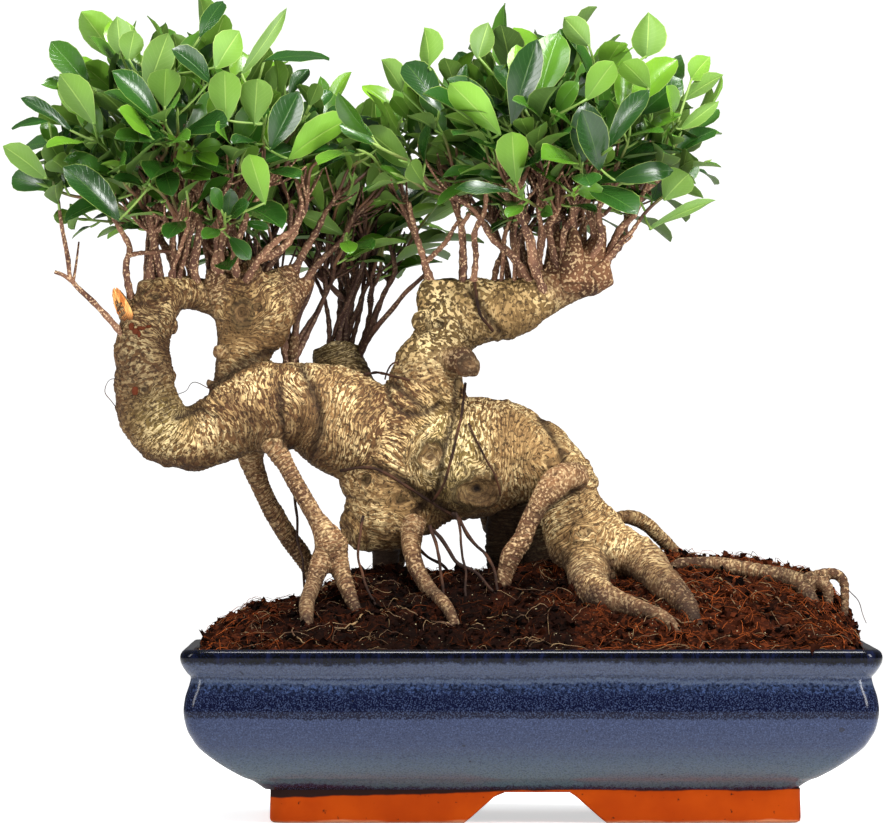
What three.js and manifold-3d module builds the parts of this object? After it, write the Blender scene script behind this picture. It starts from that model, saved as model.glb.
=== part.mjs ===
// A ficus bonsai in a rounded rectangular pot.
// Millimetres, +Z up, +X to the right and +Y to the back, seen from the front.
// The model is laid out with the pot's centre at X = Y = 0 and its foot at Z = 0. The last lines
// move the whole group so that the middle of its plan lies on the origin.
import * as THREE from 'three';
import { mergeVertices } from 'three/addons/utils/BufferGeometryUtils.js';
import Module from 'manifold-3d';

const wasm = await Module();
wasm.setup();

// ---- driving dimensions ----------------------------------------------------------------------
const GAP = 0.35; // clearance between pieces that touch
const STEM_GAP = 0.6; // from a twig's end to the green stem that carries it on
const STEM_CLEARANCE = 0.15; // the least from a green stem to any wood or other stem
const OVERCUT = 1; // how far a cut runs past the face that it opens

const POT_HALF = [225, 160]; // half length and half width over the rim
const POT_HEIGHT = 113;
const POT_WALL = 9.5;
const POT_FLOOR_TOP = 25;
const POT_CORNER = 12; // corner radius in plan
const CORNER_STEPS = 3;
const FOOT_HEIGHT = 21;
const FOOT_RECESS = { inset: 75, top: 13 }; // hollow under the floor, inset from the rim
const FOOT_NOTCH = { top: 20, bottom: 48, depth: 26 }; // half widths, in both long sides
const DRAIN_HOLE = { x: 75, radius: 14, length: 40, sides: 16 };

// Inset from the rim's outline and height, up the outside of the pot and over its lip.
const POT_OUTSIDE = [
  [57, 0], [55, 2], [55.5, FOOT_HEIGHT - 0.5], [53.5, 22.5], [46, 27], [39, 30], [28, 36.5], [19, 43],
  [11.5, 49.5], [7, 56], [4, 62], [2, 72], [3, 82], [5.5, 90], [6.5, 95], [4.5, 97.5], [1.5, 102],
  [0, 106], [0, 110], [2, POT_HEIGHT],
];
// The same, down the inside to the floor.
const POT_INSIDE = [
  [POT_WALL - 2, POT_HEIGHT], [POT_WALL, 110], [16, 92], [12.5, 72], [17, 56], [33, 40], [48, 30],
  [58, POT_FLOOR_TOP],
];

const SCREEN = { side: 44, thickness: 1.2, hole: 14, pitch: 19 }; // over each drain hole

const SOIL_EDGE = 110; // height of the soil at the wall
const SOIL_CREST = 56; // rise of the mound above the wall, at the middle of its length
const SOIL_SLOPE = 0.08; // more rise to the right, less to the left, per millimetre
const SOIL_LIP = 2; // the mound's rise right at the ends
const SOIL_TOP = 175; // no soil is higher than this
const SOIL_RINGS = [1, 0.96, 0.87, 0.73, 0.55, 0.35]; // scales of the rings up the mound
const SOIL_SIDE_POINTS = [6, 3]; // extra points on the long and the short sides of each ring

const LIMB_SIDES = 10;
const ROOT_SIDES = 6;
const RISER_SIDES = 5;
const TWIG_SIDES = 4;
const STEM_SIDES = 4;
const LOBES = [0.05, 0.04]; // how far a limb's section bulges in two and in three places
const SECTION_START = [0.31, 0.92, 0.23]; // where the first corner of every section looks

const LEAFY_LENGTH = 62; // green part of a shoot
const TWIG_RADII = [3.4, 2.1];
const STEM_RADII = [1.9, 1.1];
const LEAF = { length: 46, spread: 9, petiole: 9, widthRatio: 0.44, thickness: 0.9, arch: 0.24 };
const PETIOLE = { halfWidth: 0.8, thickness: 1.1 };
const BLADE_SECTIONS = [[0.36, 0.48], [0.72, 0.42]]; // place along the blade, half width by width
const SPLAY = { low: 70, drop: 42, spread: 8 }; // degrees between a leaf and its stem
const LEAF_CLEARANCE = 0.4;
const GOLDEN_ANGLE = Math.PI * (3 - Math.sqrt(5));
const LEAVES_PER_SHOOT = 5;
const NUDGES = [0, 0.45, -0.45, 0.9, -0.9]; // turns tried for a leaf that isn't clear, radians
const FRONT_UP = [0, -0.75, 0.66]; // where the upper faces of the outer leaves look

const INNER_DOME = 0.62; // size of the inner dome of shoot tips
const FOOT_LEAN = 0.4; // a shoot starts near this share of the way from the heart to its tip
const TWIG_BEND = { plan: 0.4, height: 0.62 }; // where the control point of a shoot's curve lies
const LEAST_WOOD = 0.3; // share of a shoot that is always woody
const LOWEST_FORK = 290; // no twig starts lower

// ---- the tree's routes: [x, y, z, radius] along the middle of each limb and root ----------------
const LIMBS = {
  loop: [[-96, 0, 246, 34], [-116, 0, 256, 34], [-134, 0, 265, 32], [-150, -2, 271, 28],
    [-163, -4, 270, 29.5], [-176, -5, 269, 29.5], [-190, -6, 265, 27], [-206, -8, 254, 21.5],
    [-222, -10, 248, 20.5], [-240, -12, 253, 20.5], [-250, -12, 272, 19.5], [-252, -12, 293, 17.5],
    [-253, -10, 312, 16.5], [-248, -8, 329, 15.5], [-241, -6, 339, 14.5], [-231, -4, 343, 12],
    [-218, 0, 342, 11]],
  crown: [[-192, 4, 276, 19.5], [-189, 6, 296, 17], [-185, 8, 312, 21.5], [-182, 8, 327, 27.5],
    [-184, 6, 339, 27], [-187, 6, 347, 19.5]],
  branch: [[-68, 0, 273, 27.5], [-65, 0, 294, 23], [-58, 0, 308, 20.5], [-49, -2, 324, 21.5],
    [-36, -4, 332, 21], [-19, -6, 333, 18.5], [0, -8, 338, 15.5], [20, -8, 348, 13],
    [40, -8, 355, 13], [52, -8, 358, 8.5]],
  uprightStump: [[-52, 0, 319, 17], [-57, 0, 335, 15], [-57, 0, 351, 13]],
  belly: [[-90, 0, 247, 31.5], [-62, 2, 235, 39.5], [-36, 4, 236, 39.5], [-16, 4, 236, 36],
    [2, 2, 232, 29], [19, 0, 222, 20.5], [28, 0, 208, 18.5]],
  column: [[-66, 0, 278, 26], [-80, 0, 255, 34], [-90, 0, 231, 34.5], [-90, 2, 208, 29.5],
    [-95, 2, 188, 27.5], [-96, 4, 173, 19], [-95, 8, 155, 13], [-94, 10, 139, 9]],
  leg: [[20, 0, 225, 19.5], [26, -2, 202, 20.5], [37, -4, 181, 26], [45, -6, 166, 23.5],
    [49, -6, 147, 18.5], [51, -6, 129, 12]],
  backStump: [[-118, 24, 267, 22.5], [-124, 36, 290, 18], [-127, 42, 306, 15]],
};

// Upright secondary branches that carry the twigs.
const RISERS = {
  lumpFront: [[-242, -6, 336, 8], [-240, -10, 363, 5], [-243, -14, 386, 3.5]],
  lumpSide: [[-258, -12, 328, 7], [-263, -14, 355, 5.5], [-262, -16, 372, 5], [-272, -18, 391, 3.5]],
  tall: [[-218, 0, 335, 10], [-221, -4, 363, 7], [-222, -6, 388, 5], [-222, -10, 409, 3.5]],
  thick: [[-198, 4, 336, 13], [-200, 2, 364, 8.5], [-203, 0, 386, 6], [-208, -6, 411, 3.5]],
  leaning: [[-178, 10, 335, 10.5], [-169, 14, 361, 6], [-156, 18, 384, 4]],
  backLean: [[-156, 10, 284, 10], [-150, 28, 334, 6.5], [-141, 32, 355, 5], [-134, 36, 375, 3.5]],
  backUpright: [[-122, 38, 298, 6], [-119, 46, 339, 4.5], [-117, 50, 369, 3.5]],
  backRight: [[-116, 28, 280, 5.5], [-104, 42, 336, 4], [-101, 46, 367, 3.5]],
  forkLeft: [[-62, 2, 338, 6], [-72, 6, 366, 4.5], [-80, 10, 390, 3.5]],
  notch: [[-43, -2, 336, 6.5], [-42, -4, 370, 5], [-44, -6, 394, 4]],
  middle: [[-14, 2, 338, 7], [-15, 8, 364, 4], [-22, 14, 386, 3.5]],
  front: [[12, -14, 336, 6.5], [1, -24, 371, 4], [-9, -28, 398, 3.5]],
  burl: [[15, -6, 345, 12], [17, -6, 367, 9], [13, -10, 390, 6], [6, -14, 412, 4]],
  endUpright: [[36, -10, 352, 11], [38, -12, 374, 8.5], [40, -14, 396, 6], [38, -16, 418, 3.5]],
  endLean: [[46, -8, 354, 6], [54, -8, 380, 5], [64, -10, 401, 3.5]],
};

const ROOTS = {
  toeBack: [[45, -12, 178, 18.5], [72, -24, 169, 13], [84, -53, 156, 11], [96, -79, 145, 8.5],
    [103, -98, 136, 6], [108, -112, 124, 4]],
  toeFront: [[37, -16, 171, 16.5], [37, -36, 160, 13.5], [43, -69, 148, 11], [55, -83, 142, 8],
    [71, -95, 137, 6.5], [87, -108, 131, 5], [96, -118, 120, 3.5]],
  crossing: [[24, -4, 214, 8], [30, -22, 222, 8.5], [20, -36, 221, 9], [10, -44, 211, 8],
    [0, -50, 195, 6], [-5, -52, 182, 6], [-12, -52, 172, 6], [-16, -52, 161, 5],
    [-20, -52, 144, 4]],
  arch: [[45, 14, 188, 5.5], [57, 28, 195, 4], [67, 34, 196, 4.5], [76, 36, 192, 4.5],
    [85, 38, 184, 4.5], [93, 40, 176, 4], [101, 42, 166, 4], [108, 44, 150, 3.5]],
  ridge: [[49, -8, 146, 6], [70, -22, 146, 5], [86, -28, 154, 4], [96, -26, 165, 3.5],
    [106, -22, 166, 4], [121, -24, 165, 5], [137, -28, 163, 5], [153, -32, 160, 5],
    [170, -34, 156, 6], [180, -40, 151, 6]],
  claw1: [[177, -38, 152, 5], [183, -59, 143, 4], [187, -80, 130, 2.5]],
  claw2: [[178, -36, 153, 5], [189, -48, 154, 4], [194, -50, 149, 3.5], [193, -53, 132, 2]],
  claw3: [[176, -32, 154, 4.5], [194, -44, 160, 3.5], [203, -46, 157, 3], [205, -48, 146, 2.5],
    [204, -52, 126, 2]],
  backAerial: [[-182, 8, 253, 10], [-183, 16, 237, 8], [-178, 20, 221, 6.5], [-172, 24, 207, 6],
    [-165, 28, 194, 6], [-157, 32, 181, 5.5], [-149, 34, 170, 5.5], [-143, 36, 157, 4.5],
    [-140, 38, 136, 3.5]],
  frontAerial: [[-165, -12, 257, 11], [-168, -18, 247, 8], [-162, -22, 236, 6],
    [-155, -27, 223, 5], [-147, -32, 209, 5], [-139, -36, 196, 5.5], [-133, -40, 186, 8],
    [-129, -42, 177, 10], [-128, -44, 168, 6]],
  aerialLegA: [[-130, -42, 178, 8], [-137, -48, 164, 6.5], [-142, -58, 150, 5],
    [-145, -80, 140, 4.5], [-144, -100, 124, 3.5]],
  aerialLegB: [[-128, -42, 177, 8], [-123, -47, 161, 6], [-118, -58, 148, 4.5],
    [-112, -68, 134, 3]],
  centre: [[-76, -18, 195, 9], [-77, -26, 176, 6], [-73, -34, 162, 5], [-65, -50, 149, 4.5],
    [-55, -78, 140, 4], [-48, -96, 126, 3]],
  shadow: [[-14, 28, 213, 13], [-17, 34, 188, 11], [-18, 36, 168, 10], [-19, 38, 144, 6.5]],
  backLeft: [[-82, 28, 221, 13], [-86, 44, 187, 9], [-90, 54, 164, 7.5], [-93, 60, 138, 5.5]],
  backRight: [[-34, 34, 227, 13], [-22, 54, 194, 8.5], [-6, 66, 167, 6.5], [5, 76, 138, 4.5]],
};

const KNOTS = {
  tornWound: [[-257, -14, 318, 5], [-265, -15, 333, 5], [-272, -13, 348, 1.5]],
  cutKnob: [[-54, -16, 304, 12], [-44, -20, 301, 9], [-36, -24, 298, 8]],
  leftKnob: [[-59, -8, 322, 10.5], [-69, -10, 324, 8], [-76, -11, 325, 4.5]],
};

// Two long twigs that leave the crowns sideways; their last point is where the green part starts.
const SIDE_TWIGS = [
  { route: [[-252, -16, 312], [-278, -20, 336], [-302, -20, 357], [-305, -20, 378],
    [-308, -20, 395]], tip: [-306, -24, 436], leafScale: 0.7 },
  { route: [[40, -10, 356], [56, -18, 372], [68, -20, 379], [75, -20, 387]],
    tip: [96, -24, 414], leafScale: 0.8 },
];

// Each crown of shoots: the dome that their tips reach, how far it goes below its middle, and the
// point under it that the shoots lean away from.
const CROWNS = [
  { centre: [-232, 0, 440], reach: [66, 72, 56], low: 0.35, shoots: 13, turn: 0.4,
    heart: [-214, 0, 350] },
  { centre: [14, 0, 440], reach: [66, 72, 52], low: 0.35, shoots: 14, turn: 1.32,
    heart: [4, -4, 350] },
  { centre: [-112, 62, 396], reach: [34, 42, 34], low: 0.5, shoots: 5, turn: 2.2,
    heart: [-120, 40, 310] },
];

// Large single leaves that shape the outline and the front: [tip, base, width].
const OUTER_LEAVES = [
  [[-200, -25, 533], [-215, -54, 508], 13], [[-159, -6, 529], [-188, -61, 484], 9],
  [[-189, -51, 513], [-204, -64, 488], 21], [[-269, -42, 523], [-266, -58, 497], 16],
  [[-235, -64, 511], [-249, -71, 471], 20], [[-232, -87, 500], [-207, -76, 478], 20],
  [[-198, -85, 486], [-197, -71, 453], 21], [[-177, -79, 481], [-179, -66, 451], 21],
  [[-306, -54, 485], [-283, -60, 452], 21], [[-332, -34, 470], [-298, -50, 448], 10],
  [[-344, -18, 439], [-315, -40, 417], 17], [[-303, -68, 424], [-266, -61, 389], 23],
  [[-116, -14, 458], [-158, -56, 429], 22], [[-182, -80, 432], [-172, -56, 400], 17],
  [[78, -6, 527], [76, -40, 496], 23], [[-52, -75, 478], [-19, -66, 445], 21],
  [[-81, -24, 493], [-58, -52, 461], 21], [[5, -73, 507], [-12, -66, 452], 22],
  [[-12, -88, 446], [-9, -66, 413], 21], [[33, -86, 461], [45, -66, 422], 22],
  [[103, -52, 420], [87, -45, 403], 22], [[122, -4, 404], [78, -30, 384], 8],
  [[124, -4, 469], [98, -40, 449], 9], [[127, -4, 486], [100, -36, 468], 12],
  [[22, -46, 522], [39, -54, 503], 16], [[-69, -6, 517], [-66, -38, 489], 20],
  [[-109, -6, 451], [-78, -44, 424], 20], [[-151, 20, 395], [-121, 22, 381], 12],
];

// ---- finishes --------------------------------------------------------------------------------
const finish = (color, roughness) =>
  new THREE.MeshStandardMaterial({ color, roughness, metalness: 0 });
const glaze = finish(0x2f4578, 0.2);
const plastic = finish(0x2c2f2c, 0.6);
const peat = finish(0x3a1f14, 0.95);
const bark = finish(0x9a8560, 0.85);
const foliage = finish(0x3f7a24, 0.45);

// ---- solids ----------------------------------------------------------------------------------
const vec = (p) => new THREE.Vector3(p[0], p[1], p[2]);
const mix = (a, b, t) => a.clone().lerp(b, t);
// A repeatable number from 0 to 1 for a pair of whole numbers.
const draw = (i, j) => {
  const wave = Math.sin(i * 12.9898 + j * 78.233) * 43758.5453;
  return wave - Math.floor(wave);
};

// A closed solid through rings of points; a ring of one point is a tip.
function loft(rings) {
  const positions = [];
  const starts = rings.map((ring) => {
    const start = positions.length / 3;
    ring.forEach((p) => positions.push(p.x, p.y, p.z));
    return start;
  });
  const faces = [];
  for (let k = 0; k + 1 < rings.length; k++) {
    const n = Math.max(rings[k].length, rings[k + 1].length);
    const at = (ring, i) => starts[ring] + (rings[ring].length === 1 ? 0 : i % n);
    for (let i = 0; i < n; i++) {
      if (rings[k].length > 1) faces.push([at(k, i), at(k, i + 1), at(k + 1, i)]);
      if (rings[k + 1].length > 1) faces.push([at(k, i + 1), at(k + 1, i + 1), at(k + 1, i)]);
    }
  }
  const last = rings.length - 1;
  for (let i = 1; i + 1 < rings[0].length; i++) faces.push([starts[0], starts[0] + i + 1, starts[0] + i]);
  for (let i = 1; i + 1 < rings[last].length; i++) {
    faces.push([starts[last], starts[last] + i, starts[last] + i + 1]);
  }
  return toSolid(positions, outward(positions, faces));
}

// Turns every face round if the solid's volume comes out negative.
function outward(positions, faces) {
  const corner = (i) => new THREE.Vector3().fromArray(positions, 3 * i);
  const volume = faces.reduce(
    (sum, [a, b, c]) => sum + corner(a).dot(corner(b).cross(corner(c))), 0);
  return volume < 0 ? faces.map(([a, b, c]) => [a, c, b]) : faces;
}

function toSolid(positions, faces) {
  return new wasm.Manifold(new wasm.Mesh({
    numProp: 3,
    vertProperties: new Float32Array(positions),
    triVerts: new Uint32Array(faces.flat()),
  }));
}

// A three.js geometry as a solid.
function fromGeometry(geometry) {
  const bare = geometry.clone();
  bare.deleteAttribute('normal');
  bare.deleteAttribute('uv');
  const merged = mergeVertices(bare);
  const index = Array.from(merged.index.array);
  const faces = index.filter((_, i) => i % 3 === 0).map((_, i) => index.slice(3 * i, 3 * i + 3));
  return toSolid(Array.from(merged.attributes.position.array), faces);
}

const join = (solids) => solids.reduce((all, one) => all.add(one));
const subtractAll = (body, cuts) => cuts.reduce((rest, cut) => rest.subtract(cut), body);
// The main body of a solid, without the crumbs that a cut can leave.
const largest = (solid) => solid.decompose().sort((a, b) => b.volume() - a.volume())[0];

function mesh(name, solid, material) {
  const { vertProperties, triVerts } = solid.getMesh();
  const geometry = new THREE.BufferGeometry();
  geometry.setAttribute('position', new THREE.BufferAttribute(vertProperties, 3));
  geometry.setIndex(new THREE.BufferAttribute(triVerts, 1));
  geometry.computeVertexNormals();
  const piece = new THREE.Mesh(geometry, material);
  piece.name = name;
  return piece;
}

// ---- pot -------------------------------------------------------------------------------------
// A level ring round the pot, `inset` inside the rim's outline; `between` adds points on the sides.
function potRing(inset, z, between = [0, 0]) {
  const [hx, hy] = POT_HALF.map((half) => half - inset);
  const points = [];
  for (let corner = 0; corner < 4; corner++) {
    const sx = corner === 0 || corner === 3 ? 1 : -1;
    const sy = corner < 2 ? 1 : -1;
    const centre = new THREE.Vector3(sx * (hx - POT_CORNER), sy * (hy - POT_CORNER), z);
    for (let step = 0; step <= CORNER_STEPS; step++) {
      const angle = (corner + step / CORNER_STEPS) * Math.PI / 2;
      points.push(new THREE.Vector3(Math.cos(angle), Math.sin(angle), 0)
        .multiplyScalar(POT_CORNER).add(centre));
    }
  }
  const perCorner = CORNER_STEPS + 1;
  return points.flatMap((point, i) => {
    if ((i + 1) % perCorner !== 0) return [point];
    const next = points[(i + 1) % points.length];
    const extra = between[((i + 1) / perCorner - 1) % 2];
    return [point, ...Array.from({ length: extra }, (_, k) => mix(point, next, (k + 1) / (extra + 1)))];
  });
}

function makePot() {
  const rings = [...POT_OUTSIDE, ...POT_INSIDE].map(([inset, z]) => potRing(inset, z));
  const recess = loft([
    potRing(FOOT_RECESS.inset, -OVERCUT), potRing(FOOT_RECESS.inset, FOOT_RECESS.top),
  ]);
  const notchTop = FOOT_HEIGHT - OVERCUT;
  const notch = new THREE.Shape([
    new THREE.Vector2(-FOOT_NOTCH.bottom, -OVERCUT), new THREE.Vector2(FOOT_NOTCH.bottom, -OVERCUT),
    new THREE.Vector2(FOOT_NOTCH.top, notchTop), new THREE.Vector2(-FOOT_NOTCH.top, notchTop),
  ]);
  const wallInside = POT_HALF[1] - FOOT_RECESS.inset - OVERCUT;
  const notches = [wallInside, -wallInside - FOOT_NOTCH.depth].map((y) => {
    const cut = new THREE.ExtrudeGeometry(notch, { depth: FOOT_NOTCH.depth, bevelEnabled: false });
    return fromGeometry(cut.rotateX(Math.PI / 2).translate(0, y + FOOT_NOTCH.depth, 0));
  });
  const drains = [-1, 1].map((side) => {
    const { x, radius, length, sides } = DRAIN_HOLE;
    const hole = new THREE.CylinderGeometry(radius, radius, length, sides);
    return fromGeometry(hole.rotateX(Math.PI / 2).translate(side * x, 0, POT_FLOOR_TOP));
  });
  return subtractAll(loft(rings), [recess, ...notches, ...drains]);
}

// A square plastic screen with a grid of square holes, flat on the pot's floor over a drain hole.
function makeScreen(side) {
  const block = (x, y, width, height) => {
    const box = new THREE.BoxGeometry(width, width, height);
    return fromGeometry(box.translate(side * DRAIN_HOLE.x + x, y,
      POT_FLOOR_TOP + GAP + SCREEN.thickness / 2));
  };
  let plate = block(0, 0, SCREEN.side, SCREEN.thickness);
  for (const column of [-0.5, 0.5]) {
    for (const row of [-0.5, 0.5]) {
      const [x, y] = [column * SCREEN.pitch, row * SCREEN.pitch];
      plate = plate.subtract(block(x, y, SCREEN.hole, SCREEN.thickness + 2 * OVERCUT));
    }
  }
  return plate;
}

// ---- soil ------------------------------------------------------------------------------------
// Height of the mound: a ridge along X that rounds off at both ends and falls to the front and back.
function soilHeight(x, y) {
  const along = Math.min(Math.abs(x) / (POT_HALF[0] - POT_WALL - 3 * GAP), 1);
  const across = Math.min(Math.abs(y) / (POT_HALF[1] - POT_WALL), 1);
  const ridge = SOIL_LIP + (SOIL_CREST - SOIL_LIP + SOIL_SLOPE * x) * Math.sqrt(1 - along ** 4);
  return SOIL_EDGE + ridge * (1 - across ** 1.2);
}

function makeSoil(roots) {
  const wall = POT_INSIDE.slice(2).reverse().map(
    ([inset, z]) => potRing(inset + 2 * GAP, Math.max(z, POT_FLOOR_TOP + GAP), SOIL_SIDE_POINTS));
  const rim = potRing(POT_WALL + 3 * GAP, 0, SOIL_SIDE_POINTS);
  const mound = SOIL_RINGS.map((scale) => rim.map((p) => new THREE.Vector3(
    p.x * scale, p.y * scale, soilHeight(p.x * scale, p.y * scale))));
  mound.push([new THREE.Vector3(0, 0, soilHeight(0, 0))]);
  const pockets = [-1, 1].map((side) => {
    const room = SCREEN.side + 2 * GAP;
    const box = new THREE.BoxGeometry(room, room, 2 * (SCREEN.thickness + GAP));
    box.translate(side * DRAIN_HOLE.x, 0, POT_FLOOR_TOP + GAP);
    return fromGeometry(box);
  });
  return largest(subtractAll(loft([...wall, ...mound]), [...roots, ...pockets]));
}

// ---- wood ------------------------------------------------------------------------------------
// A limb along its route. The section is slightly lobed, and `grow` makes it fatter and longer.
function limb(route, sides, grow = 0) {
  const centres = route.map(vec);
  const last = centres.length - 1;
  const tangents = centres.map((_, i) => centres[Math.min(i + 1, last)].clone()
    .sub(centres[Math.max(i - 1, 0)]).normalize());
  centres[0].addScaledVector(tangents[0], -grow);
  centres[last].addScaledVector(tangents[last], grow);
  const side = vec(SECTION_START);
  return loft(centres.map((centre, i) => {
    side.addScaledVector(tangents[i], -side.dot(tangents[i])).normalize();
    const other = tangents[i].clone().cross(side);
    return Array.from({ length: sides }, (_, k) => {
      const angle = (2 * Math.PI * k) / sides;
      const lobe = 1 + LOBES[0] * Math.cos(2 * angle + i) + LOBES[1] * Math.cos(3 * angle + 2 * i);
      const radius = route[i][3] * lobe + grow;
      return centre.clone().addScaledVector(side, radius * Math.cos(angle))
        .addScaledVector(other, radius * Math.sin(angle));
    });
  }));
}

// ---- shoots ----------------------------------------------------------------------------------
// Every shoot is a woody twig, fused to the tree, and a green leafy stem that carries it on.
function shootRoutes() {
  const shoots = SIDE_TWIGS.map(({ route, tip, leafScale }) => {
    const wood = route.map(vec);
    const start = wood[wood.length - 1];
    const bend = start.clone().addScaledVector(
      start.clone().sub(wood[wood.length - 2]).normalize(), 14);
    return { wood, green: new THREE.QuadraticBezierCurve3(start, bend, vec(tip)), leafScale };
  });
  CROWNS.forEach((crown) => {
    for (let i = 0; i < crown.shoots; i++) shoots.push(crownShoot(crown, i));
  });
  return shoots;
}

// Shoot tips are spread over the crown's dome by the golden angle, every third one on an inner
// dome. Each twig forks from the nearest branch, rises steeply and leans out to its tip.
function crownShoot(crown, i) {
  const height = 1 - ((i + 0.5) / crown.shoots) * (1 + crown.low);
  const angle = crown.turn + i * GOLDEN_ANGLE;
  const shell = i % 3 === 2 ? INNER_DOME : 1;
  const around = Math.sqrt(1 - height * height);
  const aim = new THREE.Vector3(around * Math.cos(angle), around * Math.sin(angle), height);
  const tip = vec(crown.centre).add(aim.clone().multiply(vec(crown.reach)).multiplyScalar(shell));
  const foot = seatInWood(mix(vec(crown.heart), tip, FOOT_LEAN));
  const bend = new THREE.Vector3(
    foot.x + TWIG_BEND.plan * (tip.x - foot.x), foot.y + TWIG_BEND.plan * (tip.y - foot.y),
    foot.z + TWIG_BEND.height * (tip.z - foot.z));
  const whole = new THREE.QuadraticBezierCurve3(foot, bend, tip);
  const split = Math.max(LEAST_WOOD, 1 - LEAFY_LENGTH / whole.getLength());
  const wood = [0, 0.5, 1].map((t) => whole.getPointAt(t * split));
  const start = whole.getPointAt(split);
  const middle = whole.getPointAt((split + 1) / 2);
  // The control point that carries the green part through the same middle point.
  const control = middle.multiplyScalar(2).addScaledVector(start, -0.5).addScaledVector(tip, -0.5);
  return { wood, green: new THREE.QuadraticBezierCurve3(start, control, tip), leafScale: 1 };
}

// The place on the routes of the limbs and risers that lies nearest to a point.
function seatInWood(point) {
  const places = [...Object.values(LIMBS), ...Object.values(RISERS)].flat()
    .filter((place) => place[2] > LOWEST_FORK).map(vec);
  return places.reduce(
    (best, one) => (one.distanceTo(point) < best.distanceTo(point) ? one : best)).clone();
}

function twig({ wood }) {
  const [r0, r1] = TWIG_RADII;
  return limb(wood.map((p, i) => [...p.toArray(), r0 + (r1 - r0) * (i / (wood.length - 1))]), TWIG_SIDES);
}

function stem({ green }) {
  const [r0, r1] = STEM_RADII;
  const start = STEM_GAP / green.getLength();
  return limb([start, 0.5, 1].map((t) => [...green.getPoint(t).toArray(), r0 + (r1 - r0) * t]),
    STEM_SIDES);
}

// A point on the middle line of a stem's solid, which runs straight between three points.
function onStem(green, t) {
  const [start, middle, tip] = [0, 0.5, 1].map((at) => green.getPoint(at));
  return t < 0.5 ? mix(start, middle, 2 * t) : mix(middle, tip, 2 * t - 1);
}

// A leaf from its root on the stem, along the petiole to the blade's base, and on to the tip.
// Its upper face looks along `up`. A short petiole widens straight into the blade.
function leaf(root, base, tip, width, up) {
  const blade = tip.clone().sub(base);
  const across = blade.clone().cross(up).normalize();
  const face = across.clone().cross(blade).normalize();
  const length = blade.length();
  const section = (centre, halfWidth, thickness) => [[-1, -1], [1, -1], [1, 1], [-1, 1]].map(
    ([u, v]) => centre.clone().addScaledVector(across, u * halfWidth)
      .addScaledVector(face, v * thickness / 2));
  const along = (t) => mix(base, tip, t).addScaledVector(face, LEAF.arch * length * t * (1 - t));
  const { halfWidth, thickness } = PETIOLE;
  const petiole = [section(root, halfWidth, thickness)];
  if (root.distanceTo(base) > 1.5 * LEAF.petiole) petiole.push(section(base, halfWidth, thickness));
  const sections = BLADE_SECTIONS.map(([t, share]) => section(along(t), share * width, LEAF.thickness));
  return loft([...petiole, ...sections, [tip]]);
}

// Leaf k of a shoot, by rule: round the stem by the golden angle, and less splayed to the tip.
function ruledLeaf({ route: { green, leafScale }, index }, k, nudge) {
  const t = 0.1 + 0.9 * (k / (LEAVES_PER_SHOOT - 1));
  const root = onStem(green, t);
  const axis = green.getTangent(t).normalize();
  const angle = k * GOLDEN_ANGLE + index * 1.1 + nudge;
  const splay = THREE.MathUtils.degToRad(SPLAY.low - SPLAY.drop * t + SPLAY.spread * draw(index, k));
  const side = new THREE.Vector3(1, 0, 0).cross(axis).normalize();
  const other = axis.clone().cross(side);
  const out = side.multiplyScalar(Math.cos(angle)).addScaledVector(other, Math.sin(angle));
  const along = axis.clone().multiplyScalar(Math.cos(splay)).addScaledVector(out, Math.sin(splay));
  const up = axis.clone().multiplyScalar(Math.sin(splay)).addScaledVector(out, -Math.cos(splay));
  const length = leafScale * (LEAF.length + LEAF.spread * (draw(index + 50, k) - 0.5));
  const base = root.clone().addScaledVector(along, LEAF.petiole);
  const tip = base.clone().addScaledVector(along, length).addScaledVector(up, -LEAF.arch * length);
  return leaf(root, base, tip, LEAF.widthRatio * length, up);
}

// The shoot whose green part passes nearest to a point, and where.
function nearestStem(shoots, point) {
  let best = { distance: Infinity };
  shoots.forEach((shoot) => {
    for (let t = 0.1; t <= 0.95; t += 0.05) {
      const root = onStem(shoot.route.green, t);
      const distance = root.distanceTo(point);
      if (distance < best.distance) best = { distance, shoot, root };
    }
  });
  return best;
}

// Whether a solid lies at least `gap` from every one of the others.
function isClear(solid, others, gap) {
  const { min, max } = solid.boundingBox();
  const isNear = ({ box }) => [0, 1, 2].every(
    (axis) => min[axis] < box.max[axis] + gap && max[axis] > box.min[axis] - gap);
  return others.every((other) => !isNear(other) || solid.minGap(other.solid, 1) >= gap);
}

// Grows all the leafy stems. A stem that would touch wood or another stem is left out, and a leaf
// stays only where it is clear of everything grown before it but its own stem, if need be after
// it is turned further round that stem.
function growShoots(routes, tree) {
  const grown = [{ solid: tree, box: tree.boundingBox() }];
  const grow = (shoot, solid, gap) => {
    const [ownStem] = shoot.solids;
    if (!isClear(solid, grown.filter((one) => one.solid !== ownStem), gap)) return false;
    grown.push({ solid, box: solid.boundingBox() });
    shoot.solids.push(solid);
    return true;
  };
  const shoots = routes.map((route, index) => ({ route, index, solids: [] }))
    .filter((shoot) => grow(shoot, stem(shoot.route), STEM_CLEARANCE));
  OUTER_LEAVES.forEach(([tip, base, width]) => {
    const { shoot, root } = nearestStem(shoots, vec(base));
    grow(shoot, leaf(root, vec(base), vec(tip), width, vec(FRONT_UP)), LEAF_CLEARANCE);
  });
  shoots.forEach((shoot) => {
    for (let k = 0; k < LEAVES_PER_SHOOT; k++) {
      NUDGES.some((nudge) => grow(shoot, ruledLeaf(shoot, k, nudge), LEAF_CLEARANCE));
    }
  });
  return shoots.map(({ solids }) => largest(join(solids)));
}

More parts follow.
